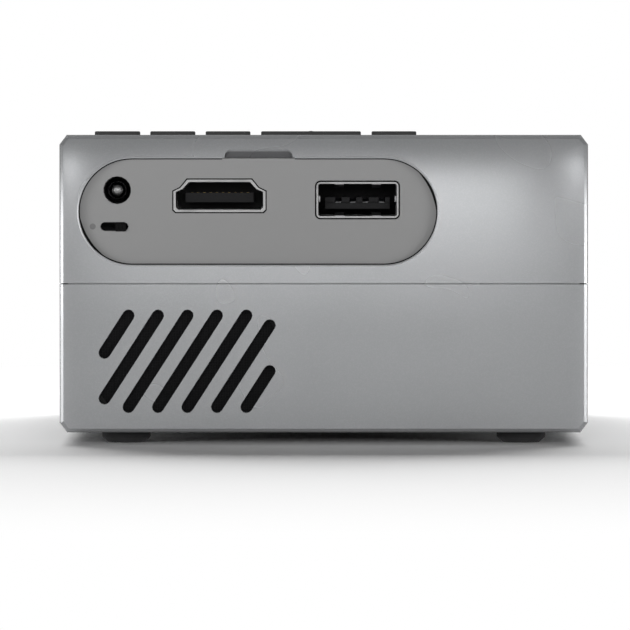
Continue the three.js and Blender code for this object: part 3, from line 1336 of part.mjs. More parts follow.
/** One fan blade: thin sections on growing radii, each swept a little further round than the last. */
function fanBlade(start) {
  const rings = [];
  const tip = FAN_DUCT_RADIUS - BLADE_TIP_GAP;
  const root = FAN_HUB_RADIUS - BLADE_THICK;
  for (let i = 0; i <= BLADE_STEPS; i += 1) {
    const share = i / BLADE_STEPS;
    const radius = root + (tip - root) * share;
    const side = (thick) => BLADE_ALONG_SHARES.map((along) => {
      const bow = BLADE_THICK * Math.sin(along * Math.PI);
      const turn = start + BLADE_SWEEP * share + BLADE_CHORD * (along - 0.5) + (thick + bow) / radius;
      const x = ROTOR_LEFT + BLADE_THICK + (ROTOR_RIGHT - ROTOR_LEFT - 2 * BLADE_THICK) * along;
      return [x, radius * Math.cos(turn), radius * Math.sin(turn)];
    });
    rings.push([...side(-BLADE_THICK / 2), ...side(BLADE_THICK / 2).reverse()]);
  }
  return loft(rings);
}

function fanRotor() {
  const hub = turned(
    [
      [0, ROTOR_LEFT],
      [FAN_HUB_RADIUS - BLADE_THICK, ROTOR_LEFT],
      [FAN_HUB_RADIUS, ROTOR_LEFT + BLADE_THICK],
      [FAN_HUB_RADIUS, ROTOR_RIGHT],
      [0, ROTOR_RIGHT],
    ],
    "x",
  );
  const blades = Array.from({ length: BLADE_COUNT }, (_, i) => fanBlade((i / BLADE_COUNT) * Math.PI * 2));
  const bore = rod(FAN_SHAFT_RADIUS + GAP, "x", FAN_LEFT + FAN_SHAFT_SUNK - GAP, FAN_RIGHT, SMALL_STEPS);
  return onFanAxis(joined([hub, ...blades]).subtract(bore));
}

/** A rubber foot about its own axis: straight above, then a cone down to the tread. */
function foot() {
  const profile = [
    [0, 0],
    [FOOT_TREAD / 2, 0],
    [FOOT_WIDTH / 2, FOOT_HEIGHT - FOOT_STRAIGHT],
    [FOOT_WIDTH / 2, FOOT_HEIGHT + FOOT_SUNK],
    [0, FOOT_HEIGHT + FOOT_SUNK],
  ];
  return turned(profile, "z");
}

/** A case screw about its own axis, standing head down. */
function caseScrew() {
  const profile = [
    [0, 0],
    [SCREW_HEAD_RADIUS, 0],
    [SCREW_HEAD_RADIUS, SCREW_HEAD_THICK],
    [SCREW_RADIUS, SCREW_HEAD_THICK],
    [SCREW_RADIUS, SCREW_HEAD_THICK + SCREW_LENGTH - SCREW_RADIUS],
    [0, SCREW_HEAD_THICK + SCREW_LENGTH],
  ];
  return turned(profile, "z", SHANK_STEPS);
}

function tripodInsert() {
  return tube(TRIPOD_RADIUS, TRIPOD_BORE_RADIUS, "z", 0, TRIPOD_LENGTH);
}

/** The hole for the infrared window in the front wall. */
function windowHole() {
  const hole = rod(WINDOW_RADIUS + SLIT, "y", FRONT_Y - WALL - OVERRUN, FRONT_Y + OVERRUN);
  return hole.translate([WINDOW_X, 0, WINDOW_Z]);
}

/** The infrared window: a dark disc through the wall with a flange behind it. */
function infraredWindow() {
  const rear = FRONT_Y - WALL - SLIT;
  const profile = [
    [0, rear - WINDOW_FLANGE_THICK],
    [WINDOW_RADIUS + WINDOW_FLANGE, rear - WINDOW_FLANGE_THICK],
    [WINDOW_RADIUS + WINDOW_FLANGE, rear],
    [WINDOW_RADIUS, rear],
    [WINDOW_RADIUS, FRONT_Y - SLIT],
    [0, FRONT_Y - SLIT],
  ];
  return turned(profile, "y").translate([WINDOW_X, 0, WINDOW_Z]);
}

function processorChip() {
  const half = CHIP_WIDTH / 2;
  const low = BOARD_TOP + SLIT;
  const y = BOARD_ARM_FRONT - CHIP_SETBACK;
  return block([BOARD_ARM_X - half, y - half, low], [BOARD_ARM_X + half, y + half, low + CHIP_THICK]);
}

function powerCoil() {
  const low = BOARD_TOP + SLIT;
  const coil = rod(COIL_RADIUS, "z", low, low + COIL_HEIGHT);
  return coil.translate([BOARD_ARM_X, BOARD_ARM_FRONT - COIL_SETBACK, 0]);
}

/** A group of the pieces given. */
function assembly(...pieces) {
  const group = new THREE.Group();
  group.add(...pieces);
  return group;
}

function casing() {
  const feet = footPlaces.map((place, i) => piece(`foot_${i + 1}`, foot(), softBlack(), [...place, 0]));
  const screws = screwPlaces.map((place, i) => {
    return piece(`case_screw_${i + 1}`, caseScrew(), steel(), [...place, SCREW_Z]);
  });
  const insertPlace = [TRIPOD_X, deep(TRIPOD_DEEP), BASE_Z + SLIT];
  return assembly(
    piece("upper_shell", upperShell(), paint()),
    piece("lower_shell", lowerShell(), paint()),
    piece("infrared_window", infraredWindow(), finish(0x14100f, 0.1)),
    piece("tripod_insert", tripodInsert(), finish(0xb08d4a, 0.35, 0.9), insertPlace),
    ...feet,
    ...screws,
  );
}

function keyRow() {
  const caps = keys.map(({ name, width, x }) => {
    return piece(name, key(width), blackPlastic(), [x, deep(KEY_ROW_DEEP), 0]);
  });
  return assembly(piece("key_board", keyBoard(), boardGreen()), ...caps);
}

function connectors() {
  const hdmiTongue = [HDMI_BOTTOM + HDMI_TONGUE_LIFT, HDMI_TONGUE_THICK];
  const usbTongue = [USB_BOTTOM + USB_TONGUE_LIFT, USB_TONGUE_THICK];
  return assembly(
    piece("port_panel", portPanel(), finish(0x868686, 0.6)),
    piece("main_board", mainBoard(), boardGreen()),
    piece("processor_chip", processorChip(), softBlack()),
    piece("power_coil", powerCoil(), finish(0x3a3836, 0.6)),
    piece("hdmi_shell", connectorShell(displayOutline, HDMI_SHELL, HDMI_LENGTH, HDMI_BACK), steel()),
    piece(
      "hdmi_tongue",
      connectorTongue(displayOutline, HDMI_LENGTH, HDMI_BACK, [HDMI_X, HDMI_TONGUE_WIDTH], hdmiTongue),
      softBlack(),
    ),
    piece("usb_shell", connectorShell(dataOutline, USB_SHELL, USB_LENGTH, USB_BACK), steel()),
    piece(
      "usb_tongue",
      connectorTongue(dataOutline, USB_LENGTH, USB_BACK, [USB_X, USB_TONGUE_WIDTH], usbTongue),
      softBlack(),
    ),
    piece("dc_inlet", powerInlet(), softBlack()),
    piece("dc_pin", powerPin(), steel()),
    piece("switch_frame", switchFrame(), steel()),
    piece("switch_knob", switchKnob(), softBlack()),
    piece("audio_jack", audioJack(), finish(0x5c5c5e, 0.5)),
    piece("card_slot", cardSlot(), steel()),
  );
}

function loudspeaker() {
  return assembly(
    piece("speaker_cloth", speakerCloth(), softBlack()),
    piece("speaker_frame", speakerFrame(), blackPlastic()),
    piece("speaker_cone", speakerCone(), softBlack()),
    piece("speaker_magnet", speakerMagnet(), steel()),
  );
}

function cooling() {
  return assembly(
    piece("heat_sink", heatSink(), finish(0xb4b6b8, 0.45, 0.85)),
    piece("fan_frame", fanFrame(), blackPlastic()),
    piece("fan_rotor", fanRotor(), blackPlastic()),
  );
}

function optics() {
  const frontCurve = FRONT_LENS_BULGE;
  const frontLens = lens(WIDE_LENS_RADIUS, FRONT_LENS_REAR, FRONT_LENS_FRONT, frontCurve, frontCurve);
  const midLens = lens(MID_LENS_RADIUS, MID_LENS_REAR, STOP_REAR - SLIT, -MID_LENS_HOLLOW, -MID_LENS_HOLLOW);
  const rearLensRear = REAR_LENS_FRONT - REAR_LENS_THICK;
  const rearLens = lens(WIDE_LENS_RADIUS, rearLensRear, REAR_LENS_FRONT, REAR_LENS_BULGE, REAR_LENS_BULGE);
  const condenserBulge = CONDENSER_THICK - CONDENSER_EDGE;
  const condenserFront = CONDENSER_REAR + CONDENSER_THICK;
  const condenser = lens(CONDENSER_RADIUS, CONDENSER_REAR, condenserFront, 0, condenserBulge);
  return assembly(
    piece("lens_bezel", lensBezel(), blackPlastic()),
    piece("focus_ring", focusRing(), blackPlastic()),
    piece("lens_barrel", lensBarrel(), softBlack()),
    piece("front_lens", frontLens, glass()),
    piece("middle_lens", midLens, glass()),
    piece("rear_lens", rearLens, glass()),
    piece("engine_housing", engineHousing(), softBlack()),
    ...plates.map((plate) => piece(plate.name, chamberPlate(plate), glass())),
    piece("condenser_lens", condenser, glass()),
    piece("led_board", ledBoard(), finish(0xd8d8d4, 0.5)),
    piece("led_emitter", ledEmitter(), finish(0xe6c94f, 0.3)),
  );
}

const projector = assembly(
  casing(),
  keyRow(),
  connectors(),
  loudspeaker(),
  piece("battery_pack", batteryPack(), finish(0x3f5a86, 0.5)),
  cooling(),
  optics(),
);
projector.name = "portable_projector";

export default projector;
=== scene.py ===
"""Looks of a portable projector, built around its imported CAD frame.

The connector face looks along -Y and the lens along +Y. Shapes are worked out in
millimetres and become metres when they are put into a mesh.
"""

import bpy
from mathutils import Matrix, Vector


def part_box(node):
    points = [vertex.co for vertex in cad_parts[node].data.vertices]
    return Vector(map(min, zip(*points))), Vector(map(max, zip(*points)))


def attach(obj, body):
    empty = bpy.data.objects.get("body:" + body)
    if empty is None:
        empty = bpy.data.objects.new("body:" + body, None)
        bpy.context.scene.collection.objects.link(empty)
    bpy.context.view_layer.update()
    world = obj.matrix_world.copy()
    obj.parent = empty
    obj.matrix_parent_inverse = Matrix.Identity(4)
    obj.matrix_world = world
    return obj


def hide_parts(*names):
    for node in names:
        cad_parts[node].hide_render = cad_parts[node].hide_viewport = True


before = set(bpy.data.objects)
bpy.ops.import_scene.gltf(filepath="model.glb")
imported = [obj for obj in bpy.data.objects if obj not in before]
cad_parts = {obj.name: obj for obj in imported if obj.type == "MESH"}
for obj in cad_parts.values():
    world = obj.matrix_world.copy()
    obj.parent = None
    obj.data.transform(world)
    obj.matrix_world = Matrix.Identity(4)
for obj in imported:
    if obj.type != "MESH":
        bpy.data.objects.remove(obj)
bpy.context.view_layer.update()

import logging
import math
from dataclasses import dataclass
from enum import Enum
from typing import Any, Callable, Mapping, Sequence

import bmesh
import bpy
import numpy as np
from mathutils import Quaternion, Vector

LOG = logging.getLogger("projector")
MM = 0.001
TAU = 2.0 * math.pi
QUARTER = math.pi / 2
CREASE = math.radians(32.0)
MERGE = 2e-7
LEAST_SIDE = 1e-4
LEAST_CORNER = 1e-3
EASE_STEPS = 4
Array = np.ndarray
Place = Sequence[float]
Ring = tuple[float, float, float, float]
Colour = tuple[float, float, float]


# Shapes


class Axis(Enum):
    """Direction of a turned piece's axis, as two cross directions and the axis."""

    X = ((0.0, 1.0, 0.0), (0.0, 0.0, 1.0), (1.0, 0.0, 0.0))
    Y = ((0.0, 0.0, 1.0), (1.0, 0.0, 0.0), (0.0, 1.0, 0.0))
    Z = ((1.0, 0.0, 0.0), (0.0, 1.0, 0.0), (0.0, 0.0, 1.0))


@dataclass
class Shape:
    """Points in millimetres, and blocks of faces that name them."""

    points: Array
    faces: list[Array]

    def __add__(self, other: "Shape") -> "Shape":
        """Both shapes in one."""
        shifted = [face + len(self.points) for face in other.faces]
        return Shape(np.vstack([self.points, other.points]), self.faces + shifted)


def joined(shapes: Sequence[Shape]) -> Shape:
    """All the shapes in one, in their order."""
    return sum(shapes[1:], shapes[0])


def skin(points: Array, rows_closed: bool = False, caps: bool = False) -> Shape:
    """A surface over a grid of points whose columns always run round and meet.

    Face (i, j) joins grid points (i, j), (i, j+1), (i+1, j+1) and (i+1, j).

    Args:
        points: grid of shape (rows, columns, 3).
        rows_closed: the last row joins the first, as on a ring.
        caps: one flat face closes the first row and one the last.

    Returns:
        The surface.
    """
    rows, cols = points.shape[:2]
    index = np.arange(rows * cols).reshape(rows, cols)
    grid = np.vstack([index, index[:1]]) if rows_closed else index
    grid = np.hstack([grid, grid[:, :1]])
    quads = np.stack([grid[:-1, :-1], grid[:-1, 1:], grid[1:, 1:], grid[1:, :-1]], -1).reshape(-1, 4)
    faces = [quads] + ([index[:1, ::-1], index[-1:]] if caps else [])
    return Shape(points.reshape(-1, 3), faces)


def turned(profile: Array, centre: Place, axis: Axis, steps: int, ring: bool = False,
           ripple: Callable[[Array, Array], Array] | None = None) -> Shape:
    """A turned surface: profile points (radius, place along the axis) carried round a circle.

    Point = centre + (radius + ripple) x (cos a, sin a) on the cross directions + place x axis.

    Args:
        profile: array of (radius, place) rows.
        centre: a point on the axis.
        axis: direction of the axis.
        steps: number of points round the circle.
        ring: the profile is a closed loop; otherwise its ends lie on the axis or get a cap.
        ripple: extra radius as a function of (place along, angle).

    Returns:
        The turned surface.
    """
    across, up, along = (np.array(v) for v in axis.value)
    angle = np.linspace(0.0, TAU, steps, endpoint=False)[None, :]
    radius, place = profile[:, :1] + 0.0 * angle, profile[:, 1:2] + 0.0 * angle
    if ripple is not None:
        radius = radius + ripple(place, angle + 0.0 * place)
    points = ((radius * np.cos(angle))[..., None] * across + (radius * np.sin(angle))[..., None] * up
              + place[..., None] * along + np.asarray(centre, float))
    return skin(points, rows_closed=ring, caps=not ring and min(profile[0, 0], profile[-1, 0]) > MERGE)


def rounded(half_x: float, half_y: float, corner: float, steps: int = 6) -> Array:
    """A rounded rectangle: in each quarter, corner centre + corner radius x (cos a, sin a).

    Args:
        half_x: half the width.
        half_y: half the height.
        corner: corner radius.
        steps: points on each corner.

    Returns:
        Array of (x, y) rows, counter-clockwise.
    """
    corner = min(corner, half_x - LEAST_SIDE, half_y - LEAST_SIDE)
    quarter = np.arange(4)[:, None]
    angle = quarter * QUARTER + np.linspace(0.0, QUARTER, steps)[None, :]
    sign_x = np.where((quarter == 0) | (quarter == 3), 1.0, -1.0)
    sign_y = np.where(quarter < 2, 1.0, -1.0)
    x = sign_x * (half_x - corner) + corner * np.cos(angle)
    y = sign_y * (half_y - corner) + corner * np.sin(angle)
    return np.stack([x.ravel(), y.ravel()], 1)


def loft(rings: Sequence[Ring], centre: Place, axis: Axis, steps: int) -> Shape:
    """Rounded rectangles stacked along an axis and skinned, with both ends capped.

    Args:
        rings: rows of (half size on cross direction 1, half size on 2, corner radius, place along).
        centre: point that the rings are centred on.
        axis: direction of the stack.
        steps: points on each corner.

    Returns:
        The closed body.
    """
    across, up, along = (np.array(v) for v in axis.value)
    outline = np.stack([rounded(a, b, r, steps) for a, b, r, _ in rings])
    place = np.array([ring[3] for ring in rings])[:, None, None]
    points = outline[..., :1] * across + outline[..., 1:] * up + place * along + np.asarray(centre, float)
    return skin(points, caps=True)


def eased_ends(edge: float, steps: int) -> tuple[Array, Array]:
    """Inset edge x (1 - sin t) and depth edge x (1 - cos t) of the rings on a rounded end."""
    turn = np.linspace(0.0, QUARTER, steps)
    return edge * (1 - np.sin(turn)), edge * (1 - np.cos(turn))


def block(low: Place, high: Place, edge: float, axis: Axis = Axis.Z, corner: float = 0.0) -> Shape:
    """A block between two corners: rounded rectangles stacked along an axis, with both ends eased.

    Args:
        low: lowest corner.
        high: highest corner.
        edge: radius of the eased edges.
        axis: direction that the block is stacked in.
        corner: radius of the edges along that direction; the eased radius when it is 0.

    Returns:
        The closed body.
    """
    low_a, high_a = np.asarray(low, float), np.asarray(high, float)
    across, up, along = (np.array(v) for v in axis.value)
    half = (high_a - low_a) / 2.0
    half_1, half_2, half_3 = (float(abs(half @ v)) for v in (across, up, along))
    corner = corner or edge
    rings = [(half_1 - inset, half_2 - inset, max(corner - inset, LEAST_CORNER), depth - half_3)
             for inset, depth in zip(*eased_ends(edge, EASE_STEPS))]
    rings += [(a, b, r, -place) for a, b, r, place in reversed(rings)]
    return loft(rings, (low_a + high_a) / 2.0, axis, 3)


def arc(centre: tuple[float, float], radius: float, start: float, end: float, steps: int) -> Array:
    """Points of an arc in a profile plane: centre + radius x (cos a, sin a), angles in degrees."""
    angle = np.radians(np.linspace(start, end, steps))
    return np.stack([centre[0] + radius * np.cos(angle), centre[1] + radius * np.sin(angle)], 1)


def bead(path: Array, half: float, proud: float, face_y: float, closed: bool = True) -> Shape:
    """A flat bead along a path on a face that looks along -Y.

    At each point the mean of the two edges' normals, lengthened by 1 / cos(half the turn),
    carries a diamond of the half width and the height.

    Args:
        path: rows of (x, z).
        half: half the bead's width.
        proud: its height above the face.
        face_y: place of the face.
        closed: the path runs back to its start.

    Returns:
        The bead.
    """
    step = np.roll(path, -1, 0) - path
    if not closed:
        step[-1] = step[-2]
    step = step / np.linalg.norm(step, axis=1, keepdims=True)
    side = np.stack([step[:, 1], -step[:, 0]], 1)
    last = np.roll(side, 1, 0)
    if not closed:
        last[0] = side[0]
    normal = side + last
    normal = normal / np.linalg.norm(normal, axis=1, keepdims=True)
    normal = normal / (normal * side).sum(1, keepdims=True)
    loop = np.array([(-1.0, 0.0), (0.0, 1.0), (1.0, 0.0), (0.0, -1.0)])
    flat = path[:, None, :] + loop[None, :, :1] * half * normal[:, None, :]
    depth = face_y - proud * loop[None, :, 1] + 0.0 * flat[..., 0]
    return skin(np.stack([flat[..., 0], depth, flat[..., 1]], -1), rows_closed=closed, caps=not closed)


def cad_mm(node: str) -> tuple[Array, Array]:
    """Lowest and highest corner of a CAD node in millimetres."""
    low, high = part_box(node)
    return np.array(low) / MM, np.array(high) / MM


def middle_of(node: str, axis: Axis) -> Array:
    """Middle of a CAD node in millimetres, brought to 0 along an axis."""
    low, high = cad_mm(node)
    return (low + high) / 2 * (1.0 - np.array(axis.value[2]))


def add_piece(name: str, shape: Shape, finish: "Finish", slot: str, nodes: Sequence[str] = (),
              body: str = "base") -> bpy.types.Object:
    """Makes a Blender object of a shape, dresses it and hangs it on a CAD body.

    Args:
        name: name of the piece.
        shape: its surface, in millimetres.
        finish: its finish.
        slot: material slot of the record; not used.
        nodes: CAD nodes that it stands for.
        body: CAD body that carries it.

    Returns:
        The object.
    """
    mesh = bpy.data.meshes.new(name)
    faces = [face for rows in shape.faces for face in rows.tolist()]
    mesh.from_pydata((shape.points * MM).tolist(), [], faces)
    work = bmesh.new()
    work.from_mesh(mesh)
    bmesh.ops.remove_doubles(work, verts=work.verts, dist=MERGE)
    bmesh.ops.recalc_face_normals(work, faces=work.faces)
    work.to_mesh(mesh)
    work.free()
    mesh.shade_smooth()
    mesh.set_sharp_from_angle(angle=CREASE)
    piece = bpy.data.objects.new(name, mesh)
    bpy.context.scene.collection.objects.link(piece)
    mesh.materials.append(finish.material())
    if nodes:
        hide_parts(*nodes)
    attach(piece, body)
    LOG.info("piece %s on %s: %d faces, %s", name, body, len(mesh.polygons), finish.label)
    return piece


def dress(finish: "Finish", *nodes: str) -> None:
    """Gives a finish to CAD nodes that stay in sight.

    Args:
        finish: the finish.
        nodes: names of the CAD nodes.
    """
    for node in nodes:
        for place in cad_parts[node].material_slots:
            place.material = finish.material()
        LOG.info("CAD node %s: %s", node, finish.label)


# Shader maths


class Field:
    """A shader socket that takes part in Python arithmetic; each step adds a Math node."""

    def __init__(self, shader: "Shader", socket: bpy.types.NodeSocket) -> None:
        """Keeps the node tree's helper and the socket."""
        self.shader, self.socket = shader, socket

    def _math(self, operation: str, *values: "Field | float") -> "Field":
        """A Math node on these values."""
        return self.shader.node("Math", {"operation": operation}, dict(enumerate(values)))

    def __add__(self, other: "Field | float") -> "Field":
        """Sum."""
        return self._math("ADD", self, other)

    def __mul__(self, other: "Field | float") -> "Field":
        """Product."""
        return self._math("MULTIPLY", self, other)

    __radd__, __rmul__ = __add__, __mul__

    def __sub__(self, other: "Field | float") -> "Field":
        """Difference."""
        return self._math("SUBTRACT", self, other)

    def __rsub__(self, other: float) -> "Field":
        """Difference from a number."""
        return self._math("SUBTRACT", other, self)

    def __abs__(self) -> "Field":
        """Absolute value."""
        return self._math("ABSOLUTE", self)

    def sine(self) -> "Field":
        """Sine."""
        return self._math("SINE", self)

    def above(self, low: float, high: float) -> "Field":
        """Smooth step from 0 at low to 1 at high."""
        return self.shader.node("MapRange", {"interpolation_type": "SMOOTHSTEP"}, {0: self, 1: low, 2: high})

    def most(self, other: "Field | float") -> "Field":
        """The larger of two."""
        return self._math("MAXIMUM", self, other)


class Shader:
    """A material's node tree, and the one method that adds nodes to it."""

    def __init__(self, owner: Any) -> None:
        """Empties a node tree.

        Args:
            owner: material or world that holds the tree.
        """
        owner.use_nodes = True
        self.tree = owner.node_tree
        self.tree.nodes.clear()

    def node(self, kind: str, settings: Mapping[str, Any] | None = None,
             inputs: Mapping[str | int, Any] | None = None, out: str | int = 0) -> Field:
        """Adds a node.

        Args:
            kind: type, without the ShaderNode prefix.
            settings: properties of the node, which are set first.
            inputs: socket name or index to a value or a Field.
            out: output socket, by name or index.

        Returns:
            The output as a Field.
        """
        made = self.tree.nodes.new("ShaderNode" + kind)
        for key, value in (settings or {}).items():
            setattr(made, key, value)
        for key, value in (inputs or {}).items():
            socket = made.inputs[key]
            if isinstance(value, Field):
                self.tree.links.new(value.socket, socket)
            elif socket.type == "RGBA":
                socket.default_value = (*value, 1.0)
            else:
                socket.default_value = value
        return Field(self, made.outputs[out] if len(made.outputs) else None)

    def place(self) -> Field:
        """Object coordinates, in metres."""
        return self.node("TexCoord", out="Object")

    def part(self, vector: Field, axis: int) -> Field:
        """One of a vector's three parts."""
        return self.node("SeparateXYZ", None, {0: vector}, axis)

    def noise(self, size: float, detail: float = 2.0, stretch: Sequence[float] = (1.0, 1.0, 1.0)) -> Field:
        """Noise with grains of about the given size in millimetres, stretched along the axes."""
        scaled = self.node("Mapping", None, {0: self.place(), 3: tuple(1.0 / s for s in stretch)})
        return self.node("TexNoise", None, {"Vector": scaled, "Scale": 1.0 / (size * MM), "Detail": detail})

    def cells(self, size: float, out: str = "Distance", **settings: str) -> Field:
        """Voronoi cells of a size in millimetres."""
        return self.node("TexVoronoi", settings, {"Vector": self.place(), "Scale": 1.0 / (size * MM)}, out)

    def blend(self, mask: Field | float, low: Any, high: Any) -> Field:
        """Colour mix: low where the mask is 0, high where it is 1."""
        return self.node("Mix", {"data_type": "RGBA"}, {0: mask, 6: low, 7: high}, 2)

    def bump(self, height: Field, strength: float, depth: float, **under: Field) -> Field:
        """A Bump node: height 1 stands for a depth in millimetres; Normal may name the normal under it."""
        inputs = {"Height": height, "Strength": strength, "Distance": depth * MM}
        return self.node("Bump", None, {**inputs, **under})

    def surface(self, **sockets: Any) -> None:
        """Ends the tree in a Principled shader with these sockets (underscores stand for spaces)."""
        named = {key.replace("_", " "): value for key, value in sockets.items()}
        self.node("OutputMaterial", None, {"Surface": self.node("BsdfPrincipled", None, named)})


# Finishes


@dataclass(frozen=True)
class Finish:
    """A finish: its label, its colour and roughness, and how it is built."""

    label: str
    colour: Colour
    roughness: float = 0.5

    def material(self) -> bpy.types.Material:
        """The Blender material, made once for each label.

        Returns:
            The material.
        """
        made = bpy.data.materials.get(self.label)
        if made is None:
            made = bpy.data.materials.new(self.label)
            self.build(Shader(made))
        return made

    def shade(self, factor: float) -> Colour:
        """The colour, lighter or darker by a factor."""
        return tuple(min(1.0, part * factor) for part in self.colour)

    def tint(self, shader: Shader, mask: Field, shades: tuple[float, float]) -> Field:
        """Mix of two shades of the colour: the first where the mask is 0, the second where it is 1."""
        return shader.blend(mask, self.shade(shades[0]), self.shade(shades[1]))

    def build(self, shader: Shader) -> None:
        """Builds the node tree; each kind of finish has its own."""
        raise NotImplementedError


@dataclass(frozen=True)
class SatinPaint(Finish):
    """Sprayed metallic paint on a slightly crowned housing."""

    shades: tuple[float, float] = (0.9, 1.18)
    base_tint: float = 0.05
    flake: float = 0.16
    flake_range: tuple[float, float] = (0.35, 1.0)
    flake_tint: float = 0.2
    mottle: float = 14.0
    mottle_tint: float = 0.3
    mottle_dulls: float = 0.03
    peel: float = 0.9
    peel_depth: float = 0.03
    peel_strength: float = 0.06
    crown: float = 0.10
    rims: tuple[float, float, float] = (0.22, 0.0, 0.22)
    reach: float = 0.985
    half: tuple[float, float, float] = (42.3, 57.0, 30.6)
    middle: tuple[float, float, float] = (0.0, -1.5, 19.0)
    scoop_place: tuple[float, float, float] = (-10.43, -58.36, 46.5)
    scoop_half: tuple[float, float] = (5.6, 1.4)
    scoop_end: tuple[float, float] = (3.0, 4.0)
    soft: float = 0.1
    # darker grey for the finger notch: painted shade in its recess
    notch_painted_shade: Colour = (0.11, 0.111, 0.115)
    metal: float = 0.55
    coat: float = 0.12
    coat_roughness: float = 0.3
    specular: float = 0.5

    def scoop(self, shader: Shader, place: Field) -> Field:
        """A box test on the place, for the finger notch, whose darker colour is painted shade in its recess.

        Args:
            shader: the material's node tree.
            place: object coordinates.

        Returns:
            A mask, 1 inside the notch.
        """
        x, y, z = (shader.part(place, axis) - self.scoop_place[axis] * MM for axis in range(3))
        across, upward = (1.0 - abs(part).above(half * MM, (half + self.soft) * MM)
                          for part, half in zip((x, z), self.scoop_half))
        start, end = (limit * MM for limit in self.scoop_end)
        return across * upward * y.above(0.0, 1.5 * self.soft * MM) * (1.0 - y.above(start, end))

    def crowned(self, shader: Shader, place: Field) -> Field:
        """Crowned faces: height = - sum over axes of half size x (crown u^2 / 2 + rim u^8 / 8).

        Along each axis u runs from -1 to 1, but is held inside its reach, which leaves out the bevelled
        edges. Along Z only the upper half is crowned, so u starts at 0 there.

        Args:
            shader: the material's node tree.
            place: object coordinates.

        Returns:
            The height in millimetres.
        """
        height: Field | float = 0.0
        for axis in range(3):
            u = (shader.part(place, axis) - self.middle[axis] * MM) * (1.0 / (self.half[axis] * MM))
            u = u.most(0.0 if axis == 2 else -self.reach)
            u = 0.0 - (0.0 - u).most(-self.reach)
            square = u * u
            eighth = (square * square) * (square * square)
            height = height + (square * (self.crown / 2) + eighth * (self.rims[axis] / 8)) * self.half[axis]
        return 0.0 - height

    def build(self, shader: Shader) -> None:
        """Flakes lighten the colour in small cells; a faint peel and a wide mottle break flat faces."""
        place = shader.place()
        flakes = shader.cells(self.flake, "Color")
        spark, mottle = shader.part(flakes, 0).above(*self.flake_range), shader.noise(self.mottle, 1.0)
        crowned = shader.bump(self.crowned(shader, place), 1.0, 1.0)
        peel = shader.bump(shader.noise(self.peel), self.peel_strength, self.peel_depth, Normal=crowned)
        mask = spark * self.flake_tint + mottle * self.mottle_tint + self.base_tint
        colour = self.tint(shader, mask, self.shades)
        # inside the notch mask the colour turns darker: painted shade of the recess
        shader.surface(Base_Color=shader.blend(self.scoop(shader, place), colour, self.notch_painted_shade), Normal=peel,
                       Roughness=self.roughness + (mottle - 0.5) * self.mottle_dulls, Metallic=self.metal,
                       Coat_Weight=self.coat, Coat_Roughness=self.coat_roughness,
                       Specular_IOR_Level=self.specular)


@dataclass(frozen=True)
class Moulded(Finish):
    """Moulded plastic with a spark-eroded grain."""

    grain: float = 0.22
    wide_share: float = 30.0
    depth: float = 0.012
    gloss: float = 0.35
    sheen: float = 0.0
    shades: tuple[float, float] = (0.86, 1.14)
    swings: tuple[float, float] = (0.18, 0.1)
    relief: float = 0.6

    def build(self, shader: Shader) -> None:
        """Two sizes of noise make the grain, and change its colour and roughness a little."""
        fine, wide = shader.noise(self.grain, 3.0), shader.noise(self.grain * self.wide_share)
        rough = self.roughness + (fine - 0.5) * self.swings[0] + (wide - 0.5) * self.swings[1]
        shader.surface(Base_Color=self.tint(shader, fine * 0.5 + wide * 0.5, self.shades), Roughness=rough,
                       Specular_IOR_Level=self.gloss, Sheen_Weight=self.sheen,
                       Normal=shader.bump(fine, self.relief, self.depth))


@dataclass(frozen=True)
class Metal(Finish):
    """Bare or plated metal, brushed or turned along one direction."""

    stretch: tuple[float, float, float] = (12.0, 1.0, 1.0)
    line: float = 0.05
    line_tint: float = 0.25
    line_swing: float = 0.2
    line_depth: float = 0.006
    relief: float = 0.25
    worn: float = 3.5
    worn_range: tuple[float, float] = (0.5, 0.8)
    worn_swing: float = 0.12
    tarnish: float = 0.25
    tarnish_range: tuple[float, float] = (0.45, 0.75)
    shades: tuple[float, float] = (1.06, 0.66)

    def build(self, shader: Shader) -> None:
        """Noise stretched along the brushing makes the lines; wide noise gives worn, duller places."""
        lines, worn = shader.noise(self.line, 2.0, self.stretch), shader.noise(self.worn, 3.0)
        tint = worn.above(*self.tarnish_range) * self.tarnish + lines * self.line_tint
        dull = worn.above(*self.worn_range) * self.worn_swing
        rough = self.roughness + (lines - 0.5) * self.line_swing + dull
        shader.surface(Base_Color=self.tint(shader, tint, self.shades), Metallic=1.0, Roughness=rough,
                       Normal=shader.bump(lines, self.relief, self.line_depth))


@dataclass(frozen=True)
class Clear(Finish):
    """Glass or clear plastic; a lens has a thin coating that glints in colour."""

    index: float = 1.52
    film: float = 0.0
    film_index: float = 1.38
    clear: float = 1.0
    dust: float = 0.7
    dust_range: tuple[float, float] = (0.62, 0.85)
    dust_swing: float = 0.05
    shades: tuple[float, float] = (1.0, 0.93)
    coat: tuple[float, float] = (0.25, 0.1)
    coat_roughness: float = 0.02

    def build(self, shader: Shader) -> None:
        """Dust noise dulls the surface a little; the coating is a thin film of the given thickness."""
        dust = shader.noise(self.dust, 3.0).above(*self.dust_range)
        shader.surface(Base_Color=self.tint(shader, dust, self.shades), IOR=self.index,
                       Roughness=self.roughness + dust * self.dust_swing, Transmission_Weight=self.clear,
                       Coat_Weight=self.coat[0] + dust * self.coat[1], Coat_Roughness=self.coat_roughness,
                       Thin_Film_Thickness=self.film, Thin_Film_IOR=self.film_index)


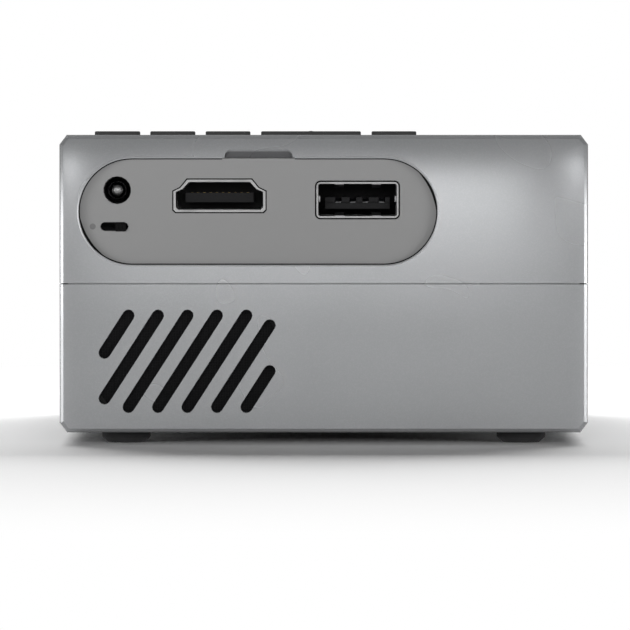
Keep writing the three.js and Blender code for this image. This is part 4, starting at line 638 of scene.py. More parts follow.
@dataclass(frozen=True)
class CircuitBoard(Finish):
    """Solder-masked board with copper tracks under the mask and tinned pads."""

    pitch: float = 1.4
    track_range: tuple[float, float] = (0.05, 0.12)
    pad_pitch: float = 2.3
    pad_range: tuple[float, float] = (0.10, 0.14)
    pad: Colour = (0.72, 0.66, 0.48)
    pad_metal: float = 0.9
    pad_swing: float = 0.1
    shades: tuple[float, float] = (1.0, 1.9)
    coat: float = 0.3
    coat_roughness: float = 0.2
    relief: float = 0.5
    depth: float = 0.03

    def build(self, shader: Shader) -> None:
        """Square-metric cells give right-angled tracks along their borders, and small cells give the pads."""
        edge, core = (shader.cells(self.pitch, distance="CHEBYCHEV", feature=rank) for rank in ("F2", "F1"))
        tracks = 1.0 - (edge - core).above(*self.track_range)
        pads = 1.0 - shader.cells(self.pad_pitch).above(*self.pad_range)
        shader.surface(Base_Color=shader.blend(pads, self.tint(shader, tracks, self.shades), self.pad),
                       Metallic=pads * self.pad_metal, Roughness=self.roughness - pads * self.pad_swing,
                       Coat_Weight=self.coat, Coat_Roughness=self.coat_roughness,
                       Normal=shader.bump(tracks + pads, self.relief, self.depth))


@dataclass(frozen=True)
class Woven(Finish):
    """Woven or pressed fibre, its threads following the piece's own UV map in metres."""

    pitch: float = 0.42
    over_range: tuple[float, float] = (-0.2, 0.2)
    fuzz: float = 0.12
    shades: tuple[float, float] = (0.35, 1.5)
    thread_tint: float = 0.7
    fuzz_height: float = 0.4
    swing: float = 0.1
    gloss: float = 0.2
    sheen: float = 0.2
    relief: float = 0.7
    depth: float = 0.06

    def build(self, shader: Shader) -> None:
        """Threads: |sin u| and |sin v| in turn over and under, by the sign of sin u x sin v."""
        uv = shader.node("UVMap")
        wave = math.pi / (self.pitch * MM)
        u, v = ((shader.part(uv, axis) * wave).sine() for axis in (0, 1))
        over = (u * v).above(*self.over_range)
        thread = abs(u) * over + abs(v) * (1.0 - over)
        fuzz = shader.noise(self.fuzz, 3.0)
        mask = thread * self.thread_tint + fuzz * (1.0 - self.thread_tint)
        shader.surface(Base_Color=self.tint(shader, mask, self.shades), Specular_IOR_Level=self.gloss,
                       Roughness=self.roughness - thread * self.swing, Sheen_Weight=self.sheen,
                       Normal=shader.bump(thread + fuzz * self.fuzz_height, self.relief, self.depth))


@dataclass(frozen=True)
class Pulp(Finish):
    """Pressed paper of a loudspeaker cone: matt, with short fibres."""

    fibre: float = 0.1
    stretch: float = 5.0
    shades: tuple[float, float] = (0.7, 1.5)
    swing: float = 0.1
    gloss: float = 0.2
    relief: float = 0.5
    depth: float = 0.04

    def build(self, shader: Shader) -> None:
        """Noise stretched two ways makes crossing fibres in colour and relief."""
        one, two = (shader.noise(self.fibre, 3.0, stretch) for stretch in
                    ((self.stretch, 1.0, 1.0), (1.0, 1.0, self.stretch)))
        fibre = one.most(two)
        shader.surface(Base_Color=self.tint(shader, fibre, self.shades), Specular_IOR_Level=self.gloss,
                       Roughness=self.roughness + fibre * self.swing,
                       Normal=shader.bump(fibre, self.relief, self.depth))


@dataclass(frozen=True)
class Phosphor(Finish):
    """Yellow phosphor over the light source's dies, with a faint glow."""

    pitch: float = 1.1
    grain: float = 0.15
    die_range: tuple[float, float] = (0.25, 0.5)
    die_tint: float = 0.8
    shades: tuple[float, float] = (0.7, 1.15)
    relief: float = 0.3
    depth: float = 0.02
    glow: float = 0.06

    def build(self, shader: Shader) -> None:
        """Rows of square dies show through the phosphor: a grid from |sin x| and |sin z| of the place."""
        place = shader.place()
        wave = math.pi / (self.pitch * MM)
        across, upward = (abs((shader.part(place, axis) * wave).sine()) for axis in (0, 2))
        grain = shader.noise(self.grain, 3.0)
        mask = (across * upward).above(*self.die_range) * self.die_tint + grain * (1.0 - self.die_tint)
        colour = self.tint(shader, mask, self.shades)
        shader.surface(Base_Color=colour, Roughness=self.roughness, Emission_Color=colour,
                       Emission_Strength=self.glow, Normal=shader.bump(grain, self.relief, self.depth))


class Finishes:
    """Every finish of the projector, by what it is put on."""

    PAINT = SatinPaint("satin_paint", (0.268, 0.273, 0.280), 0.27)
    # lighter paint for the bead on the panel opening's edge: the bead is the rounded rim, its lighter colour
    # a painted highlight
    EDGE_HIGHLIGHT = SatinPaint("painted_edge_highlight", (0.34, 0.345, 0.355), 0.42)
    PANEL = Moulded("panel_plastic", (0.275, 0.274, 0.275), 0.55, depth=0.006)
    KEY = Moulded("key_plastic", (0.009, 0.009, 0.010), 0.6, depth=0.010, gloss=0.12)
    BLACK = Moulded("black_plastic", (0.014, 0.014, 0.015), 0.5)
    # near-black: painted shade for the seam, the rim crescents and the clearances round the connectors
    GAP_SHADE = Moulded("painted_gap_shade", (0.003, 0.003, 0.003), 0.8, gloss=0.1)
    TONGUE = Moulded("tongue_plastic", (0.007, 0.007, 0.0075), 0.6, gloss=0.15)
    KNOB = Moulded("knob_plastic", (0.004, 0.004, 0.004), 0.65, gloss=0.08)
    JACK = Moulded("jack_plastic", (0.10, 0.10, 0.105), 0.4, depth=0.004)
    LENS_PLASTIC = Moulded("lens_plastic", (0.020, 0.020, 0.021), 0.38, depth=0.006)
    RUBBER = Moulded("foot_rubber", (0.022, 0.022, 0.023), 0.85, grain=0.35, depth=0.02, gloss=0.2, sheen=0.1)
    PRINT = Moulded("grey_print", (0.15, 0.15, 0.15), 0.6, grain=0.1, depth=0.002)
    WINDOW = Clear("infrared_window", (0.10, 0.006, 0.012), 0.06, clear=0.35)
    WRAP = Moulded("battery_wrap", (0.035, 0.075, 0.20), 0.28, grain=2.6, depth=0.05, gloss=0.5)
    STEEL = Metal("plated_steel", (0.50, 0.50, 0.50), 0.34)
    SHELL = Metal("shell_steel", (0.28, 0.28, 0.28), 0.42)
    PIN = Metal("nickel_pin", (0.22, 0.22, 0.22), 0.30, stretch=(1.0, 8.0, 1.0))
    SPRING = Metal("spring_steel", (0.22, 0.22, 0.225), 0.36, stretch=(1.0, 14.0, 1.0))
    SCREW = Metal("blackened_steel", (0.30, 0.30, 0.31), 0.34, stretch=(1.0, 1.0, 1.0), line=0.12)
    BRASS = Metal("brass", (0.78, 0.58, 0.28), 0.25, stretch=(1.0, 1.0, 9.0))
    # dim gold: partly the contacts' own gilding, partly painted shade deep inside the display connector
    GOLD = Metal("gilt_contact", (0.40, 0.30, 0.13), 0.3, stretch=(1.0, 9.0, 1.0), tarnish=0.1)
    COPPER = Metal("enamelled_copper", (0.62, 0.26, 0.11), 0.3, stretch=(1.0, 1.0, 1.0), line=0.2)
    ALUMINIUM = Metal("extruded_aluminium", (0.72, 0.73, 0.74), 0.35, stretch=(1.0, 1.0, 16.0))
    BEZEL = Metal("bezel_metal", (0.42, 0.43, 0.45), 0.3, stretch=(1.0, 9.0, 1.0))
    GLASS = Clear("plain_glass", (0.97, 0.99, 0.98), 0.01)
    COATED = Clear("coated_lens", (0.96, 0.98, 1.0), 0.008, film=420.0)
    PANEL_GLASS = Clear("panel_glass", (0.20, 0.22, 0.26), 0.05, clear=0.5)
    BOARD = CircuitBoard("green_board", (0.010, 0.060, 0.028), 0.42)
    WHITE_BOARD = CircuitBoard("white_board", (0.78, 0.78, 0.76), 0.5, pitch=2.6)
    PHOSPHOR = Phosphor("phosphor", (0.85, 0.62, 0.10), 0.45)
    CLOTH = Woven("speaker_cloth", (0.010, 0.010, 0.011), 0.9)
    PAPER = Pulp("cone_paper", (0.020, 0.019, 0.018), 0.9)


# Sub-assemblies


def thread_wave(place: Array, angle: Array, pitch: float, span: tuple[float, float], depth: float,
                sink: float = 0.0) -> Array:
    """Swing of a thread's radius: a triangle wave of place / pitch - angle / full turn.

    Args:
        place: places along the axis.
        angle: angles round it.
        pitch: pitch of the thread.
        span: start and end of the thread along the axis.
        depth: height of the wave.
        sink: how far its valleys lie below the plain radius.

    Returns:
        The extra radius, 0 outside the span.
    """
    phase = (place / pitch - angle / TAU) % 1.0
    on = (place > span[0]) & (place < span[1])
    return np.where(on, depth * (1.0 - np.abs(2.0 * phase - 1.0)) - sink, 0.0)


@dataclass
class Casing:
    """Painted housing halves, their screws, feet, tripod thread and infrared window."""

    foot_radius: float = 3.93
    foot_top: float = 2.55
    foot_rim_z: float = 1.0
    foot_edge: float = 0.3
    tread_radius: float = 3.05
    tread_edge: float = 0.2
    tread_inset: float = 0.25
    tread_pad: float = 0.7
    groove_place: float = 1.2
    groove_pitch: float = 1.05
    groove_depth: float = 0.10
    groove_share: float = 0.55
    head_radius: float = 1.98
    head_low: float = 2.45
    head_top: float = 3.95
    head_edge: float = 0.25
    head_dome: float = 0.12
    head_rim: float = 0.4
    head_face: float = 0.2
    recess_arm: tuple[float, float] = (0.34, 0.14)
    recess_end: tuple[float, float] = (1.15, 0.4)
    recess_depth: float = 0.8
    shank_radius: float = 1.08
    shank_end: float = 30.9
    shank_core: float = 0.99
    tip_radius: float = 0.4
    tip_length: float = 1.0
    thread_insets: tuple[float, float] = (0.1, 0.9)
    neck: float = 0.15
    thread_pitch: float = 0.8
    thread_depth: float = 0.18
    thread_sink: float = 0.02
    insert_radius: float = 4.53
    insert_span: tuple[float, float] = (2.07, 6.47)
    insert_chamfer: float = 0.2
    bore_radius: float = 2.66
    bore_chamfer: float = 0.4
    bore_inset: float = 0.45
    tripod_pitch: float = 1.27
    tripod_depth: float = 0.32
    run_out: float = 0.3
    window_radius: float = 3.0
    window_dome: float = 0.25
    window_edge: float = 0.1
    window_inset: float = 0.02
    window_rim: float = 0.36
    window_flange: tuple[float, float] = (3.8, 0.8)

    def foot(self, centre: Place) -> Shape:
        """A turned foot: a tread with two shallow ring grooves, a cone and a straight rim with eased edges.

        Args:
            centre: middle of the foot.

        Returns:
            The foot.
        """
        rise = np.linspace(0.0, self.tread_radius - self.tread_inset, 40)
        wave = np.cos((rise - self.groove_place) * TAU / self.groove_pitch)
        groove = self.groove_depth * np.clip(wave - self.groove_share, 0.0, 1.0) / (1.0 - self.groove_share)
        tread = np.stack([rise, np.where(rise < self.tread_pad, 0.0, groove)], 1)
        edge = arc((self.tread_radius - self.tread_edge, self.tread_edge), self.tread_edge, -90, -45, 4)
        rim = arc((self.foot_radius - self.foot_edge, self.foot_rim_z), self.foot_edge, -45, 0, 4)
        top = [(self.foot_radius, self.foot_top), (0.0, self.foot_top)]
        return turned(np.vstack([tread, edge, rim, top]), centre, Axis.Z, 64)

    def screw(self, centre: Place) -> Shape:
        """A turned pan-head screw.

        The head's points are pushed up by a cross recess: depth x a ramp of the distance from the
        two arms x a ramp of the distance from the middle. The shank carries a thread.

        Args:
            centre: middle of the screw.

        Returns:
            The screw.
        """
        low, top, end = self.head_low, self.head_top, self.shank_end
        radius, edge = self.head_radius, self.head_edge
        head = np.linspace(0.0, radius - edge, 26)
        rows = np.stack([head, low + self.head_dome * (head / radius) ** 2], 1)
        rim = arc((radius - edge, low + self.head_rim), edge, -70, 0, 5)
        turns = np.linspace(top + self.neck, end - self.tip_length, 150)
        shank = np.stack([np.full_like(turns, self.shank_core), turns], 1)
        ends = [(radius, top), (self.shank_radius, top)]
        tip = [(self.tip_radius, end), (0.0, end)]
        span = (top + self.thread_insets[0], end - self.thread_insets[1])
        shape = turned(np.vstack([rows, rim, ends, shank, tip]), centre, Axis.Z, 48,
                       ripple=lambda place, angle: thread_wave(place, angle, self.thread_pitch, span,
                                                               self.thread_depth, self.thread_sink))
        local = shape.points - np.asarray(centre, float)
        across, up = np.abs(local[:, 0]), np.abs(local[:, 1])
        (arm_half, arm_ramp), (arm_end, end_ramp) = self.recess_arm, self.recess_end
        arm = np.clip((arm_half - np.minimum(across, up)) / arm_ramp, 0.0, 1.0)
        reach = np.clip((arm_end - np.maximum(across, up)) / end_ramp, 0.0, 1.0)
        on_face = local[:, 2] < low + self.head_face
        shape.points[:, 2] += np.where(on_face, self.recess_depth * arm * reach, 0.0)
        return shape

    def tripod(self, centre: Place) -> Shape:
        """A threaded insert: a ring profile with chamfers, whose bore carries the thread.

        Args:
            centre: middle of the insert.

        Returns:
            The insert.
        """
        (low, high), radius, chamfer = self.insert_span, self.insert_radius, self.insert_chamfer
        mouth = self.bore_radius + self.bore_chamfer
        bore = np.linspace(high - self.bore_inset, low + self.bore_inset, 90)
        inner = np.stack([np.full_like(bore, self.bore_radius), bore], 1)
        outer = [(mouth, low), (radius - chamfer, low), (radius, low + chamfer), (radius, high - chamfer / 2),
                 (radius - chamfer / 2, high), (mouth, high)]
        span = (low + self.run_out, high - self.run_out)
        return turned(np.vstack([inner, outer]), centre, Axis.Z, 72, ring=True,
                      ripple=lambda place, angle: thread_wave(place, angle, self.tripod_pitch, span,
                                                              self.tripod_depth))

    def window(self, node: str) -> Shape:
        """The infrared window: a face with a shallow dome, a straight rim and a flange behind the wall.

        Args:
            node: CAD node that it stands for.

        Returns:
            The window.
        """
        low, high = cad_mm(node)
        radius, (flange, thick), edge, end = self.window_radius, self.window_flange, self.window_edge, high[1]
        rise = np.linspace(0.0, radius - edge, 12)
        face = np.stack([rise, end - self.window_inset - self.window_dome * (rise / radius) ** 2], 1)
        rim = [(radius, end - self.window_rim), (radius, low[1] + thick + edge), (flange, low[1] + thick),
               (flange, low[1]), (0.0, low[1])]
        return turned(np.vstack([face, rim]), middle_of(node, Axis.Y), Axis.Y, 48)

    def build(self) -> None:
        """Dresses the housing and makes feet, screws, insert and window."""
        dress(Finishes.PAINT, "upper_shell", "lower_shell")
        for number in range(1, 5):
            for kind, maker, finish, slot in (("foot", self.foot, Finishes.RUBBER, "rubber"),
                                              ("case_screw", self.screw, Finishes.SCREW, "steel")):
                node = f"{kind}_{number}"
                add_piece(f"turned_{node}", maker(middle_of(node, Axis.Z)), finish, slot, [node])
        insert = self.tripod(middle_of("tripod_insert", Axis.Z))
        add_piece("threaded_insert", insert, Finishes.BRASS, "brass", ["tripod_insert"])
        window = self.window("infrared_window")
        add_piece("domed_window", window, Finishes.WINDOW, "window", ["infrared_window"])


@dataclass
class KeyRow:
    """Five key caps with eased edges and dished tops, and the board under them."""

    top: float = 50.2
    flange_top: float = 47.45
    flange_low: float = 46.7
    flange: float = 0.5
    flange_corner: float = 1.0
    play: float = 0.55
    corner: float = 0.95
    top_corner: float = 0.9
    edge: float = 0.22
    edge_start: float = 0.2
    dish: float = 0.06
    dish_shares: tuple[float, float] = (0.92, 0.1)
    stem_radius: float = 1.45
    stem_corner: float = 1.44
    dot_radius: float = 0.45
    dot_rise: float = 0.14
    dot_seat: float = 0.08
    dot_depth: float = 0.2

    def cap(self, node: str) -> Shape:
        """A cap: rounded rectangles stacked from the stem up over a flange to a dished top.

        Args:
            node: CAD node of the key.

        Returns:
            The cap.
        """
        low, high = cad_mm(node)
        half_x, half_y = (high[:2] - low[:2]) / 2 - self.play
        wide = (half_x + self.flange, half_y + self.flange, self.flange_corner)
        stem = (self.stem_radius, self.stem_radius, self.stem_corner)
        neck = (half_x, half_y, self.corner)
        rings = [(*stem, low[2]), (*stem, self.flange_low), (*wide, self.flange_low),
                 (*wide, self.flange_top), (*neck, self.flange_top), (*neck, self.top - self.edge)]
        rings += [(half_x - self.edge * (1 - math.cos(t)), half_y - self.edge * (1 - math.cos(t)),
                   self.top_corner, self.top - self.edge + self.edge * math.sin(t))
                  for t in np.linspace(self.edge_start, QUARTER, 5)]
        rings += [(half_x * s, half_y * s, self.top_corner * s, self.top - self.dish * (1 - s * s))
                  for s in np.linspace(*self.dish_shares, 7)]
        return loft(rings, middle_of(node, Axis.Z), Axis.Z, 8)

    def point(self, node: str) -> Shape:
        """The raised point in the middle of a key: a quarter of an ellipse, turned.

        Args:
            node: CAD node of the key.

        Returns:
            The point.
        """
        rise, radius = np.linspace(0.0, QUARTER, 7), self.dot_radius
        dome = np.stack([radius * np.sin(rise), self.top - self.dot_seat + self.dot_rise * np.cos(rise)], 1)
        profile = np.vstack([dome, [(radius, self.top - self.dot_depth), (0.0, self.top - self.dot_depth)]])
        return turned(profile, middle_of(node, Axis.Z), Axis.Z, 20)

    def build(self) -> None:
        """Makes the caps, the raised point on the wide key and the key board."""
        for node in ("key_power", "key_source", "key_previous", "key_ok", "key_next"):
            shape = self.cap(node) + self.point(node) if node == "key_ok" else self.cap(node)
            add_piece(f"{node}_cap", shape, Finishes.KEY, "key_plastic", [node], node)
        dress(Finishes.BOARD, "key_board")


@dataclass
class PortPanel:
    """Connector panel: plate, dark crescents along its rim that are painted shadow, a lighter bead on its
    opening's edge that is a painted highlight, a dark bead that is painted shade in its seam, and the
    switch's dot.
    """

    face_y: float = -57.6
    body_y: float = -58.5
    left_end: float = -30.72
    right_end: float = 9.68
    middle_z: float = 37.33
    radius: float = 8.48
    crescent: float = 0.36
    crescent_rise: float = 0.03
    right_crescent: tuple[float, float] = (-2.0, 51.0)
    left_crescent: tuple[float, float] = (184.0, 239.0)
    edge_out: float = 0.16
    edge_half: float = 0.12
    edge_rise: float = 0.04
    seam_out: float = -0.05
    seam_half: float = 0.09
    seam_rise: float = 0.03
    notch_ends: tuple[float, float] = (-16.25, -4.65)
    dot_place: tuple[float, float, float] = (-37.0, 0.0, 34.93)
    dot_radius: float = 0.48
    dot_rise: float = 0.02

    def shadow_crescent(self, centre_x: float, start: float, end: float) -> Shape:
        """A crescent of painted shadow in the clearance at the panel's rim: an arc at the panel's radius,
        whose width and height go with sqrt(sin(pi x share)).

        Args:
            centre_x: centre of the arc.
            start: angle of its start in degrees.
            end: angle of its end.

        Returns:
            The crescent.
        """
        share = np.linspace(0.0, 1.0, 40)[:, None]
        angle = np.radians(start + (end - start) * share)
        swell = np.clip(np.sin(share * math.pi), 0.0, 1.0) ** 0.5
        loop = np.array([(-1.0, 0.0), (-0.5, 1.0), (0.0, 0.0), (-0.5, -1.0)])[None]
        radius = self.radius + loop[..., 0] * self.crescent * swell
        y = self.face_y - loop[..., 1] * self.crescent_rise * swell
        points = np.stack([centre_x + radius * np.cos(angle), y, self.middle_z + radius * np.sin(angle)], -1)
        return skin(points, caps=True)

    def line(self, out: float, half: float, proud: float, face_y: float) -> Shape:
        """A line along the panel's rim: two arcs joined by straight lines, open where the finger notch is.

        Args:
            out: distance outside the panel's radius.
            half: half the line's width.
            proud: its height above the face.
            face_y: place of the face.

        Returns:
            The line.
        """
        reach = self.radius + out
        right = arc((self.right_end, self.middle_z), reach, 90.0, -90.0, 33)
        left = arc((self.left_end, self.middle_z), reach, 270.0, 90.0, 33)
        ends = [np.array([(x, self.middle_z + reach)]) for x in self.notch_ends]
        return bead(np.vstack([ends[1], right, left, ends[0]]), half, proud, face_y, closed=False)

    def dot(self) -> Shape:
        """A printed dot: a flat dome, (radius x sin t, rise x cos t).

        Returns:
            The dot.
        """
        turn = np.linspace(0.0, QUARTER, 8)
        profile = np.stack([self.dot_radius * np.sin(turn), self.face_y - self.dot_rise * np.cos(turn)], 1)
        profile = np.vstack([profile, [(0.0, self.face_y + self.dot_rise)]])
        return turned(profile, self.dot_place, Axis.Y, 32)

    def build(self) -> None:
        """Dresses the plate and makes the painted-shadow crescents, the edge's painted highlight, the seam's
        painted shade and the dot.
        """
        dress(Finishes.PANEL, "port_panel")
        edge = self.line(self.edge_out, self.edge_half, self.edge_rise, self.body_y)
        seam = self.line(self.seam_out, self.seam_half, self.seam_rise, self.face_y)
        crescents = joined([self.shadow_crescent(self.right_end, *self.right_crescent),
                            self.shadow_crescent(self.left_end, *self.left_crescent)])
        # lighter bead on the housing round the opening: painted highlight on its rounded rim
        add_piece("panel_edge_highlight", edge, Finishes.EDGE_HIGHLIGHT, "painted_shell")
        # near-black bead just inside the panel's rim: painted shade in the seam
        add_piece("panel_seam_shade", seam, Finishes.GAP_SHADE, "black_plastic")
        # near-black crescents: painted shadow in the clearance at the panel's rim
        add_piece("panel_shadow_crescents", crescents, Finishes.GAP_SHADE, "black_plastic")
        add_piece("switch_dot", self.dot(), Finishes.PRINT, "panel_plastic")


@dataclass
class Connectors:
    """Display, data and power connectors, slide switch, audio jack and card slot."""

    face_y: float = -57.6
    gap_half: float = 0.1
    gap_rise: float = 0.03
    display_x: float = -16.7
    display_low: float = 37.62
    display_size: tuple[float, float] = (14.0, 4.45)
    display_grow: float = 0.47
    display_shares: tuple[float, ...] = (0.94, 0.06, 0.357, 0.845, 0.252, 0.697)
    display_tongue: tuple[float, float] = (38.86, 40.3)
    strip_half: float = 0.2
    strip_span: tuple[float, float] = (-52.8, -47.5)
    strip_rise: float = 0.05
    sunk: float = 0.02
    data_x: float = 5.4
    data_size: tuple[float, float] = (12.6, 5.2)
    data_grow: float = 0.37
    data_corner: float = 0.75
    data_inside: tuple[float, float] = (36.58, 41.78)
    data_tongue_low: float = 37.73
    data_tongue_top: float = 38.72
    data_tongue_half: float = 5.2
    data_tongue_end: float = -45.5
    data_wall: float = 0.6
    data_contacts: tuple[float, ...] = (2.36, 4.68, 6.71, 9.32)
    contact_width: float = 0.9
    contact_span: tuple[float, float] = (-52.4, -46.2)
    contact_bow: float = 0.45
    rib_gap: float = 0.52
    rib_top: float = 39.63
    rib_start: float = 0.35
    rib_edge: float = 0.05
    edge: float = 0.08
    upper_row: tuple[float, int] = (-4.5, 10)
    lower_row: tuple[float, int] = (-4.0, 9)
    data_springs: tuple[float, ...] = (2.48, 8.44)
    spring_width: float = 1.45
    spring_span: tuple[float, float] = (-57.3, -50.0)
    spring_bow: float = 0.5
    leaf_half: float = 0.08
    leaf_corner: float = 0.05
    bump_low: tuple[float, float] = (-57.2, 38.8)
    bump_high: tuple[float, float] = (-51.0, 39.9)
    bump_inset: float = 0.15
    bump_half: float = 0.2
    bump_edge: float = 0.16
    power_centre: tuple[float, float, float] = (-33.08, 0.0, 40.75)
    pin_radius: float = 0.95
    pin_nose: float = 0.6
    pin_edge: float = 0.1
    sleeve_bore: float = 1.32
    sleeve_radius: float = 1.46
    sleeve_span: tuple[float, float] = (-56.35, -54.9)
    sleeve_point: float = 0.15
    sleeve_edge: float = 0.06
    knob_x: float = -32.5
    knob_seat: float = -54.9
    thumb_half: float = 0.84
    thumb_inset: float = 0.12
    thumb_corner: float = 0.2
    rib_half: float = 0.13
    rib_pitch: float = 0.5
    rib_depth: float = 0.3
    overlap: float = 0.05
    lip_half: float = 0.2
    switch_z: float = 34.93
    jack_centre: tuple[float, float, float] = (0.0, -34.5, 36.1)
    lining_bore: float = 1.62
    lining_radius: float = 1.79
    lining_span: tuple[float, float] = (-42.42, -36.0)
    lining_mouth: tuple[float, float] = (0.1, 0.12)

    def strips(self, first: float, count: int, low: float, high: float) -> list[Shape]:
        """Flat contacts in a row, 1 mm apart.

        Args:
            first: distance of the first one from the connector's middle.
            count: number of contacts.
            low: lower side.
            high: upper side.

        Returns:
            The contacts.
        """
        (start, end), half = self.strip_span, self.strip_half
        return [block((x - half, start, low), (x + half, end, high), self.sunk)
                for x in self.display_x + first + np.arange(count)]

    def display_contacts(self) -> Shape:
        """Nineteen flat contacts: ten above the tongue and nine below it, half a pitch apart.

        Returns:
            The contacts.
        """
        (low, high), sunk, rise = self.display_tongue, self.sunk, self.strip_rise
        above = self.strips(*self.upper_row, high - sunk, high + rise)
        return joined(above + self.strips(*self.lower_row, low - rise, low + sunk))

    def leaf(self, x: float, width: float, span: tuple[float, float], seat: float, bow: float) -> Shape:
        """A spring leaf along Y: a flat section carried along height = seat + bow x sin^2(pi x share).

        Args:
            x: middle of the leaf.
            width: its width.
            span: its start and end.
            seat: height of its ends.
            bow: how far its middle stands off.

        Returns:
            The leaf.
        """
        share = np.linspace(0.0, 1.0, 24)[:, None]
        loop = rounded(width / 2, self.leaf_half, self.leaf_corner, 3)[None]
        y = span[0] + (span[1] - span[0]) * share + 0.0 * loop[..., 0]
        z = seat + bow * np.sin(share * math.pi) ** 2 + loop[..., 1]
        return skin(np.stack([x + loop[..., 0] + 0.0 * share, y, z], -1), caps=True)

    def data_leaves(self) -> Shape:
        """Four bowed contacts on the tongue.

        Returns:
            The contacts.
        """
        seat = self.data_tongue_top + self.leaf_half / 2
        return joined([self.leaf(x, self.contact_width, self.contact_span, seat, self.contact_bow)
                       for x in self.data_contacts])

    def data_tabs(self) -> Shape:
        """Spring tabs that lean in from top and bottom of the data shell, and a bump on each side.

        Returns:
            The tabs and bumps.
        """
        low, high = self.data_inside
        tabs = [self.leaf(x, self.spring_width, self.spring_span, seat, bow) for x in self.data_springs
                for seat, bow in ((low + self.sunk, self.spring_bow), (high - self.sunk, -self.spring_bow))]
        reach, half = self.data_size[0] / 2 - self.bump_inset, self.bump_half
        bumps = [block((x - half, *self.bump_low), (x + half, *self.bump_high), self.bump_edge)
                 for x in (self.data_x - reach, self.data_x + reach)]
        return joined(tabs + bumps)

    def data_tongue(self) -> Shape:
        """Tongue of the data connector: a plate, the wall behind and the ribs between its four contacts.

        Returns:
            The tongue.
        """
        low, high = cad_mm("usb_tongue")
        left, right = self.data_x - self.data_tongue_half, self.data_x + self.data_tongue_half
        end, top = self.data_tongue_end, self.data_tongue_top
        plate = block((left, low[1], self.data_tongue_low), (right, end, top), self.edge)
        wall = block((low[0], end - self.data_wall, low[2]), high, self.rib_edge)
        starts = [left] + [x + self.rib_gap for x in self.data_contacts]
        ends = [x - self.rib_gap for x in self.data_contacts] + [right]
        start, foot = low[1] + self.rib_start, top - self.rib_edge
        ribs = [block((a, start, foot), (b, end, self.rib_top), self.rib_edge) for a, b in zip(starts, ends)]
        return joined([plate, wall] + ribs)

    def outlines(self) -> Shape:
        """Near-black beads of painted shade in the clearances round the display connector, which steps in at
        its shoulders, and round the data one.

        Returns:
            Both beads of painted shade.
        """
        grow = self.display_grow
        half, height = self.display_size[0] / 2 + grow, self.display_size[1] + 2 * grow
        low = self.display_low - grow
        high = low + height
        foot, foot_rise, shoulder_fall, neck, neck_fall, head = self.display_shares
        right = np.array([(foot * half, low), (half, low + foot_rise * half),
                          (half, high - shoulder_fall * height), (neck * half, high - neck_fall * height),
                          (head * half, high)])
        display = np.vstack([right, right[::-1] * (-1.0, 1.0)]) + (self.display_x, 0.0)
        half_x, half_z = (size / 2 + self.data_grow for size in self.data_size)
        data = rounded(half_x, half_z, self.data_corner) + (self.data_x, sum(self.data_inside) / 2)
        return joined([bead(path, self.gap_half, self.gap_rise, self.face_y) for path in (display, data)])

    def sleeve(self) -> Shape:
        """Ring of the power socket's sleeve, deep in its bore, with a pointed front edge.

        Returns:
            The ring.
        """
        (start, end), bore, radius = self.sleeve_span, self.sleeve_bore, self.sleeve_radius
        shoulder = start + self.sleeve_point
        profile = [(bore, shoulder), (bore + self.sleeve_edge, start), (radius, shoulder), (radius, end),
                   (bore, end)]
        return turned(np.array(profile), self.power_centre, Axis.Y, 40, ring=True)

    def pin(self) -> Shape:
        """The power pin: a round nose, (radius x sin t, nose x (1 - cos t)), and an end with an eased edge.

        Returns:
            The pin.
        """
        low, high = cad_mm("dc_pin")
        turn, radius = np.linspace(0.0, QUARTER, 10), self.pin_radius
        nose = np.stack([radius * np.sin(turn), low[1] + self.pin_nose * (1 - np.cos(turn))], 1)
        rest = [(radius, high[1] - self.pin_edge), (radius - self.pin_edge, high[1]), (0.0, high[1])]
        return turned(np.vstack([nose, rest]), self.power_centre, Axis.Y, 40)

    def knob(self) -> Shape:
        """The switch knob: a base in the channel, a thumb piece with three raised ribs, and its lower lip.

        Returns:
            The knob.
        """
        low, high = cad_mm("switch_knob")
        half, inset = (high[2] - low[2]) / 2, self.thumb_inset
        left, right = self.knob_x - self.thumb_half, self.knob_x + self.thumb_half
        bottom, top = self.switch_z - half, self.switch_z + half
        base = block((low[0], self.knob_seat - self.overlap, low[2]), high, self.edge, Axis.Y)
        thumb = block((left, low[1] + inset, bottom), (right, self.knob_seat, top), inset, Axis.Y,
                      self.thumb_corner)
        lip = block((left, low[1], bottom - self.lip_half),
                    (right, self.face_y - self.overlap, bottom + self.lip_half), self.edge, Axis.Y)
        ribs = [block((x - self.rib_half, low[1], bottom + inset),
                      (x + self.rib_half, low[1] + self.rib_depth, top - inset), self.edge, Axis.Y)
                for x in self.knob_x + self.rib_pitch * np.array([-1.0, 0.0, 1.0])]
        return joined([base, thumb, lip] + ribs)

    def lining(self) -> Shape:
        """Metal lining of the audio jack: a ring profile with an eased mouth.

        Returns:
            The lining.
        """
        (start, end), bore, radius = self.lining_span, self.lining_bore, self.lining_radius
        easing, depth = self.lining_mouth
        profile = [(bore, start + depth), (bore + easing, start), (radius, start), (radius, end), (bore, end)]
        return turned(np.array(profile), self.jack_centre, Axis.X, 48, ring=True)

    def build(self) -> None:
        """Dresses the connectors' nodes and makes contacts, springs, pin, knob and lining."""
        dress(Finishes.SHELL, "hdmi_shell", "usb_shell")
        dress(Finishes.STEEL, "card_slot")
        dress(Finishes.TONGUE, "hdmi_tongue", "dc_inlet", "switch_frame")
        dress(Finishes.JACK, "audio_jack")
        add_piece("data_tongue", self.data_tongue(), Finishes.TONGUE, "black_plastic", ["usb_tongue"])
        # near-black beads round both connectors: painted shade in their clearances
        add_piece("connector_gap_shade", self.outlines(), Finishes.GAP_SHADE, "black_plastic")
        add_piece("power_sleeve_ring", self.sleeve(), Finishes.PIN, "steel")
        add_piece("display_contacts", self.display_contacts(), Finishes.GOLD, "brass")
